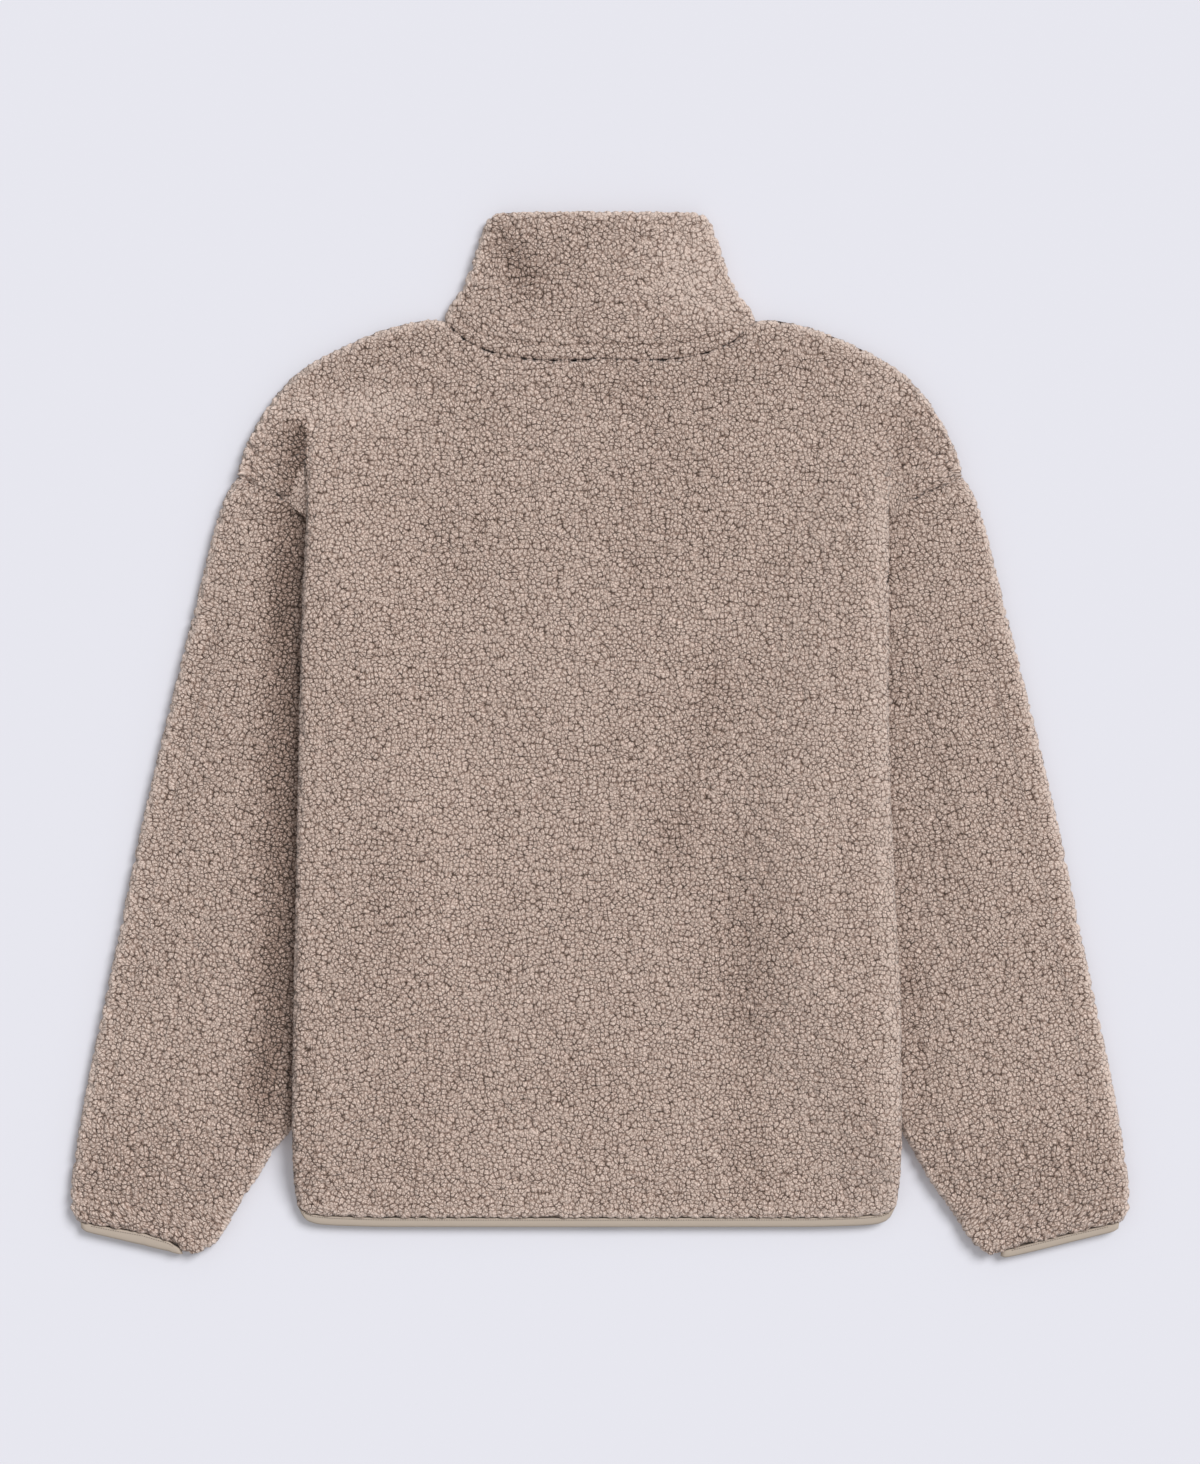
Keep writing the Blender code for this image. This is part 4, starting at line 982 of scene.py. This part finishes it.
for side in (-1, 1):
    # each column is the flat points and heights of the outer surface, then of the inner one
    half_collar = []
    for share in np.linspace(0.0, 1.0, COLLAR_COLUMNS)[:-1]:
        out = CHANNEL_HALF + (width_front - MIDDLE - CHANNEL_HALF) * share
        flat = collar_point(out / width_front, 2)
        low = np.maximum(rim_fall, seam_fall(out - CHANNEL_HALF, ZIP_EDGE_ROLL))
        thin = np.where(out < ZIP_LEDGE, ZIP_LEDGE_Z, WALL - rim_inside)
        half_collar.append((flat, low, flat, thin))
    for angle in np.linspace(-math.pi / 2, math.pi / 2, 2 * TURN_POINTS + 1):
        turn = math.sin(angle)
        inset = MIDDLE * (1.0 - math.cos(angle))
        mix = 0.5 + 0.5 * turn
        high = MIDDLE + turn * (MIDDLE - rim_fall - groove * max(0.0, turn))
        thin = MIDDLE + turn * (LAYER_GAP / 2 + rim_inside)
        half_collar.append((at_fold(mix, inset), high, at_fold(mix, WALL + inset), thin))
    for share in np.linspace(1.0, 0.0, COLLAR_COLUMNS)[1:]:
        out = (width_back - MIDDLE) * share
        flat = collar_point(out / width_back, 1)
        dome = COLLAR_DOME * smooth(height / DOME_REACH) * (1.0 - (out / width_back) ** 2)
        drape = dome + soft_folds(COLLAR_FOLDS, side * flat[:, 0], flat[:, 1])
        high = UPPER_FACE - rim_fall - groove + drape
        half_collar.append((flat, high, flat, WALL + LAYER_GAP + rim_inside))
    halves.append(half_collar)
collar_middle = len(halves[0]) - 1
layers = []
for k in (0, 2):
    points = []
    for side, half_collar in ((-1, halves[0]), (1, halves[1][-2::-1])):
        for column in half_collar:
            flat = column[k]
            points.append(np.stack([side * flat[:, 0], flat[:, 1], column[k + 1]], axis=1))
    layer = np.array(points)
    # the collar leans a little to the left of the neck seam
    lean = COLLAR_LEAN * smooth(height / LEAN_REACH)
    layer[:, :, 0] += lean * np.clip(layer[:, :, 2] / MIDDLE, 0.0, 1.0)
    layers.append(layer)
outer, inner = layers
across = run_length(outer[:, :, ::2], 0, collar_middle)
along = run_length(outer[:, :, 1:], 1, 0) + outer[:, :1, 1]
# the side folds are slanted, so on the front the curls start afresh past the fold
for way, part in ((-1, slice(None, COLLAR_COLUMNS)), (1, slice(-COLLAR_COLUMNS, None))):
    out = np.abs(outer[part, :, 0])
    turn = float(np.mean(np.abs(across[part, 0]) + out[:, 0]))
    across[part] = way * (turn - out)
    along[part] = outer[part, :, 1]
cloth = np.stack([across, along], axis=2)
pile = BAND_PILE + (1.0 - BAND_PILE) * smooth((height - NECK_BAND) / 4.0)
on_back = np.clip((outer[:, :, 2] - MIDDLE) / 3.0, 0.0, 1.0)
x = outer[:, :, 0]
y = outer[:, :, 1]
# painted shade in the grooves of the neck seam and the stitches, and along lines on the back
crevice_shade = SEAM_SHADE[0] * bell(height, SEAM_SHADE[1]) * neck_shade(x)
crevice_shade = crevice_shade + STITCH_SHADE[0] * bell(height - NECK_BAND, STITCH_SHADE[1])
painted_shading = on_back * (crevice_shade + soft_folds(COLLAR_SHADES, x, y))
# painted highlight along the collar's top edge and side folds
collar_edge = bell(COLLAR_HEIGHT - height, EDGE_REACH)
collar_edge = collar_edge + bell(read(COLLAR_SIDE, y, 1) - np.abs(x), EDGE_REACH)
painted_shading += EDGE_LIGHT * np.minimum(collar_edge, 1.0)
collar = sew("jacket_collar", outer, inner, cloth, pile, painted_shading)
finish_fleece(collar, "collar")

# Cuff tapes: a smooth stretch tape folded over the raw end of each sleeve and stitched through.
# Share of the tape's length from the outer end, height of the tape left and right
CUFF_TAPE = [
    (0, 5, 5), (0.06, 7, 6.6), (0.3, 8, 6.8), (0.6, 9.5, 7),
    (0.85, 8, 6.6), (0.95, 5.5, 6), (1, 3.5, 3.5),
]
CUFF_TAPE_START = 0.02
CUFF_TAPE_END = {-1: 0.83, 1: 0.86}
CUFF_TAPE_LEAN = 0.14
# Half thickness of a tape: share of the way from the cloth to the free edge, half thickness
TAPE_HALF = [(0.0, 3.0), (0.12, 3.7), (0.5, 3.9), (0.85, 3.5), (1.0, 2.2)]
TAPE_SLIT_HALF = 0.3
TAPE_WALL = 3.2
TAPE_FOLD = 4.0
TAPE_CLEAR = 0.1
TAPE_ROWS = 16
CUFF_TAPE_COLUMNS = 44
# The row of points that the stitches follow, and how far they stand up from it
STITCH_ROW = 3
STITCH_PROUD = 0.05

tape_paint, tape_tree, tape_shader = new_paint(
    "stretch_tape",
    {"Base Color": (0.50, 0.42, 0.35, 1.0), "Roughness": 0.75, "Specular IOR Level": 0.25},
)
tape_place = add_node(tape_tree, "ShaderNodeUVMap", uv_map="UVMap").outputs[0]
tape_ribs = {"Scale": 420.0, "Distortion": 0.8, "Vector": tape_place}
tape_ribs = add_node(tape_tree, "ShaderNodeTexWave", tape_ribs).outputs["Fac"]
add_bump(tape_tree, tape_shader, tape_ribs, 0.0003, 0.35)


def sew_tape(name, node, fine, hidden, wrap):
    """A tape as one closed shell, with the place of each point on the flat tape."""
    cloth = np.stack([run_length(fine, 0, 0), run_length(fine, 1, 0)], axis=2)
    tape = sew(name, fine, hidden, cloth, wrap=wrap, block=4)
    tape.data.materials.append(tape_paint)
    fit(tape, node)
    return tape


stitch_lines = {}
proud = np.array([0.0, 0.0, STITCH_PROUD])
tape_t = np.linspace(0.0, 1.0, TAPE_ROWS)
tape_half = read(TAPE_HALF, tape_t, 1)
for side, side_name in ((-1, "left"), (1, "right")):

    def tape_plan(share):
        at = CUFF_TAPE_START + share * (CUFF_TAPE_END[side] - CUFF_TAPE_START)
        flat = walk(CUFF_EDGE[side], at)
        down = read(CUFF_TAPE, share, 1 if side < 0 else 2) * np.broadcast_to(tape_t, share.shape)
        x = side * (flat[..., 0] - TAPE_CLEAR - down * CUFF_TAPE_LEAN)
        return np.stack([x, flat[..., 1] - SEAM_GAP - TAPE_CLEAR - down], axis=-1)

    widths = plan_widths(tape_plan, TAPE_ROWS)
    insets = tube_insets(widths, TAPE_FOLD, CUFF_TAPE_COLUMNS)
    rise = fold_rise(insets, widths, TAPE_FOLD)
    high = rise * tape_half
    fine = ring(tape_plan(insets / widths), SLEEVE_MIDDLE + high, SLEEVE_MIDDLE - high)
    high = rise * TAPE_SLIT_HALF
    inside = np.clip(insets, TAPE_WALL, widths - TAPE_WALL)
    hidden = ring(tape_plan(inside / widths), SLEEVE_MIDDLE + high, SLEEVE_MIDDLE - high)
    # the line of the stitches, on the flat of each face
    middle = len(fine) // 2
    stitch_lines["cuff_stitches_" + side_name] = [
        fine[middle + TURN_POINTS + 1 : -TURN_POINTS, STITCH_ROW] + proud,
        fine[TURN_POINTS : middle - TURN_POINTS, STITCH_ROW] - proud,
    ]
    tape = sew_tape("cuff_tape_" + side_name, "cuff_binding_" + side_name, fine, hidden, True)

# Hem tape: the same tape folded over the raw edge of the hem, from the zip round to the zip.
HEM_TAPE_INSET = 4.5
HEM_FRONT_COLUMNS = 110
HEM_BACK_COLUMNS = 116
# Least height over the middle of the flat part of a face, where its stitches run
HEM_STITCH_HIGH = 3.4


def hem_points(side, share, inset):
    corner = float(fold_x(side, HEM_CORNER_Y))
    x_high = share * corner - inset
    x_low = share * (corner - HEM_TAPE_INSET) - inset
    y_high = read(HEM, x_high / corner, 1) - SEAM_GAP
    y_low = read(HEM, x_high / corner, 2)
    x = side * (x_high + (x_low - x_high) * tape_t)
    return np.stack([x, y_high + (y_low - y_high) * tape_t], axis=1)


def hem_half(side):
    """Columns of half of the hem tape from the zip, round the fold, to the middle of the back."""
    corner = float(fold_x(side, HEM_CORNER_Y))
    last = 1.0 - TAPE_FOLD / corner
    columns = []
    for share in np.linspace(ZIP_LEDGE / corner, last, HEM_FRONT_COLUMNS)[:-1]:
        columns.append((hem_points(side, share, 0.0), -1.0))
    for angle in np.linspace(-math.pi / 2, math.pi / 2, 2 * TURN_POINTS + 1):
        inset = TAPE_FOLD * (1.0 - math.cos(angle))
        columns.append((hem_points(side, 1.0, inset), math.sin(angle)))
    for share in np.linspace(last, 0.0, HEM_BACK_COLUMNS)[1:]:
        columns.append((hem_points(side, share, 0.0), 1.0))
    return columns


fine = []
hidden = []
for flat, way in hem_half(-1) + hem_half(1)[-2::-1]:
    fine.append(np.column_stack([flat, MIDDLE + way * tape_half]))
    pulled = flat - np.array([np.sign(flat[0, 0]) * TAPE_WALL, 0.0]) * (1.0 - abs(way))
    hidden.append(np.column_stack([pulled, np.full(TAPE_ROWS, MIDDLE + way * TAPE_SLIT_HALF)]))
fine = np.array(fine)
line = fine[:, STITCH_ROW]
on_top = line[line[:, 2] > MIDDLE + HEM_STITCH_HIGH]
below = line[line[:, 2] < MIDDLE - HEM_STITCH_HIGH]
stitch_lines["hem_stitches"] = [
    on_top + proud, below[below[:, 0] < 0.0] - proud, below[below[:, 0] > 0.0] - proud,
]
hem = sew_tape("hem_tape", "hem_binding", fine, np.array(hidden), False)

# Stitches: one row of small lockstitches through the tapes, just below the edge of the pile, on
# both faces. The thread is a darker beige than the tape and shows as a fine dotted line.
STITCH_SIZE = (1.1, 0.5, 0.4)
STITCH_PITCH = 1.9

# the fine grain that thread, teeth and metal share: a tone between two colours, and its strength
grain_tree = bpy.data.node_groups.new("fine_grain", "ShaderNodeTree")
for way, names, kind in (
    ("INPUT", ("Scale", "Detail"), "NodeSocketFloat"),
    ("INPUT", ("Dark", "Light"), "NodeSocketColor"),
    ("OUTPUT", ("Color",), "NodeSocketColor"),
    ("OUTPUT", ("Fac",), "NodeSocketFloat"),
):
    for name in names:
        grain_tree.interface.new_socket(name=name, in_out=way, socket_type=kind)
given = add_node(grain_tree, "NodeGroupInput").outputs
grain = {
    "Vector": add_node(grain_tree, "ShaderNodeTexCoord").outputs["Object"],
    "Scale": given["Scale"],
    "Detail": given["Detail"],
}
grain = add_node(grain_tree, "ShaderNodeTexNoise", grain).outputs["Fac"]
mixed = {0: grain, 6: given["Dark"], 7: given["Light"]}
mixed = add_node(grain_tree, "ShaderNodeMix", mixed, data_type="RGBA")
add_node(grain_tree, "NodeGroupOutput", {"Color": mixed.outputs[2], "Fac": grain})


def grained(name, scale, detail, dark, light, sockets):
    """A new material with the fine grain as its colour, its tree, shader and the grain's node."""
    paint, tree, shader = new_paint(name, sockets)
    values = {"Scale": scale, "Detail": detail, "Dark": (*dark, 1.0), "Light": (*light, 1.0)}
    node = add_node(tree, "ShaderNodeGroup", values, node_tree=grain_tree)
    set_sockets(tree, shader, {"Base Color": node.outputs["Color"]})
    return paint, tree, shader, node


def small_block(name, size, bevel):
    """Mesh of a small block with bevelled edges."""
    bm = bmesh.new()
    bmesh.ops.create_cube(bm, size=1.0)
    bmesh.ops.scale(bm, vec=Vector(size) * MM, verts=bm.verts[:])
    bmesh.ops.bevel(
        bm,
        geom=bm.edges[:],
        offset=bevel * MM,
        segments=1,
        profile=0.5,
        affect="EDGES",
        material=-1,
    )
    mesh = bpy.data.meshes.new(name)
    bm.to_mesh(mesh)
    bm.free()
    return mesh


def place_block(bm, mesh, spot, turn=0.0):
    """Adds a block to a row, turned about the vertical and moved to its spot."""
    first = len(bm.verts)
    bm.from_mesh(mesh)
    bm.verts.ensure_lookup_table()
    new = bm.verts[first:]
    if turn:
        matrix = Matrix.Rotation(turn, 3, "Z")
        bmesh.ops.rotate(bm, cent=(0.0, 0.0, 0.0), matrix=matrix, verts=new)
    bmesh.ops.translate(bm, vec=spot, verts=new)


def sew_row(bm, line):
    """Stitches along a line of points, each turned to the line."""
    run = line_run(line)
    for at in np.arange(STITCH_PITCH, run[-1] - STITCH_PITCH, STITCH_PITCH):
        ends = [Vector([np.interp(at + d, run, line[:, k]) for k in range(3)]) for d in (-0.4, 0.4)]
        way = ends[1] - ends[0]
        place_block(bm, stitch, (ends[0] + ends[1]) * MM / 2, math.atan2(way.y, way.x))


thread = grained(
    "stitch_thread", 1500.0, 2.0, (0.10, 0.078, 0.062), (0.22, 0.175, 0.145), {"Roughness": 0.7}
)[0]
stitch = small_block("stitch", STITCH_SIZE, 0.12)
for name, lines in stitch_lines.items():
    bm = bmesh.new()
    for line in lines:
        sew_row(bm, line)
    fit(as_piece(name, bm, thread))

# Front zip, on the side that lies on the surface: two woven tapes sewn behind the front edges,
# with closed moulded teeth between them.
ZIP_BOTTOM_Y = -384.0
ZIP_TOP_Y = 348.0
ZIP_TAPE_INNER_X = 1.2
ZIP_TAPE_OUTER_X = 14.0
ZIP_TAPE_MIDDLE_Z = 5.45
ZIP_TAPE_THICK = 0.9
TOOTH_PITCH = 2.6
TOOTH_SIZE = (3.2, 1.15, 1.1)
TOOTH_OUT = 1.05
TEETH_MIDDLE_Z = 4.15
weave_paint, weave_tree, weave_shader = new_paint(
    "woven_zip_tape", {"Roughness": 0.85, "Specular IOR Level": 0.2}
)
weave = {
    "Vector": add_node(weave_tree, "ShaderNodeTexCoord").outputs["Object"],
    "Scale": 1600.0,
    "Color1": (0.47, 0.39, 0.33, 1.0),
    "Color2": (0.36, 0.295, 0.245, 1.0),
}
weave = add_node(weave_tree, "ShaderNodeTexChecker", weave).outputs
set_sockets(weave_tree, weave_shader, {"Base Color": weave["Color"]})
add_bump(weave_tree, weave_shader, weave["Fac"], 0.0002, 1.0)
for side, side_name in ((-1, "left"), (1, "right")):
    bm = bmesh.new()
    bmesh.ops.create_grid(bm, x_segments=6, y_segments=180, size=0.5)
    width = ZIP_TAPE_OUTER_X - ZIP_TAPE_INNER_X
    bmesh.ops.scale(bm, vec=(width * MM, (ZIP_TOP_Y - ZIP_BOTTOM_Y) * MM, 1.0), verts=bm.verts[:])
    centre_x = side * (ZIP_TAPE_OUTER_X + ZIP_TAPE_INNER_X) / 2
    low_z = ZIP_TAPE_MIDDLE_Z - ZIP_TAPE_THICK / 2
    centre = Vector((centre_x, (ZIP_TOP_Y + ZIP_BOTTOM_Y) / 2, low_z)) * MM
    bmesh.ops.translate(bm, vec=centre, verts=bm.verts[:])
    bmesh.ops.solidify(bm, geom=bm.faces[:], thickness=-ZIP_TAPE_THICK * MM)
    bmesh.ops.recalc_face_normals(bm, faces=bm.faces[:])
    woven = as_piece("zip_tape_" + side_name + "_woven", bm, weave_paint)
    fit(woven, "zip_tape_" + side_name)

teeth_paint = grained(
    "moulded_teeth", 700.0, 2.0, (0.30, 0.24, 0.20), (0.50, 0.42, 0.36), {"Roughness": 0.38}
)[0]
tooth = small_block("tooth", TOOTH_SIZE, 0.25)
bm = bmesh.new()
for n in range(int((ZIP_TOP_Y - 4.0 - ZIP_BOTTOM_Y) / (TOOTH_PITCH / 2))):
    out = TOOTH_OUT if n % 2 else -TOOTH_OUT
    spot = (out, ZIP_BOTTOM_Y + 1.0 + n * TOOTH_PITCH / 2, TEETH_MIDDLE_Z)
    place_block(bm, tooth, Vector(spot) * MM)
fit(as_piece("zip_teeth", bm, teeth_paint), "zip_chain")

# Zip slider and pull: die-cast metal with a brushed, slightly worn finish. Both keep the shape
# of the fitted parts, and get softly rounded edges here.
metal, metal_tree, metal_shader, metal_grain = grained(
    "brushed_metal", 900.0, 3.0, (0.34, 0.31, 0.28), (0.55, 0.52, 0.48), {"Metallic": 0.9}
)
rough = {"Value": metal_grain.outputs["Fac"], "To Min": 0.30, "To Max": 0.48}
rough = add_node(metal_tree, "ShaderNodeMapRange", rough)
set_sockets(metal_tree, metal_shader, {"Roughness": rough.outputs[0]})
for node in ("zip_slider", "zip_pull"):
    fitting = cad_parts[node]
    fitting.data.materials[0] = metal
    rounding = fitting.modifiers.new("soft_edges", "BEVEL")
    rounding.width = 0.15 * MM
    rounding.segments = 2
    rounding.limit_method = "ANGLE"
    rounding.angle_limit = math.radians(50.0)

bpy.context.view_layer.update()
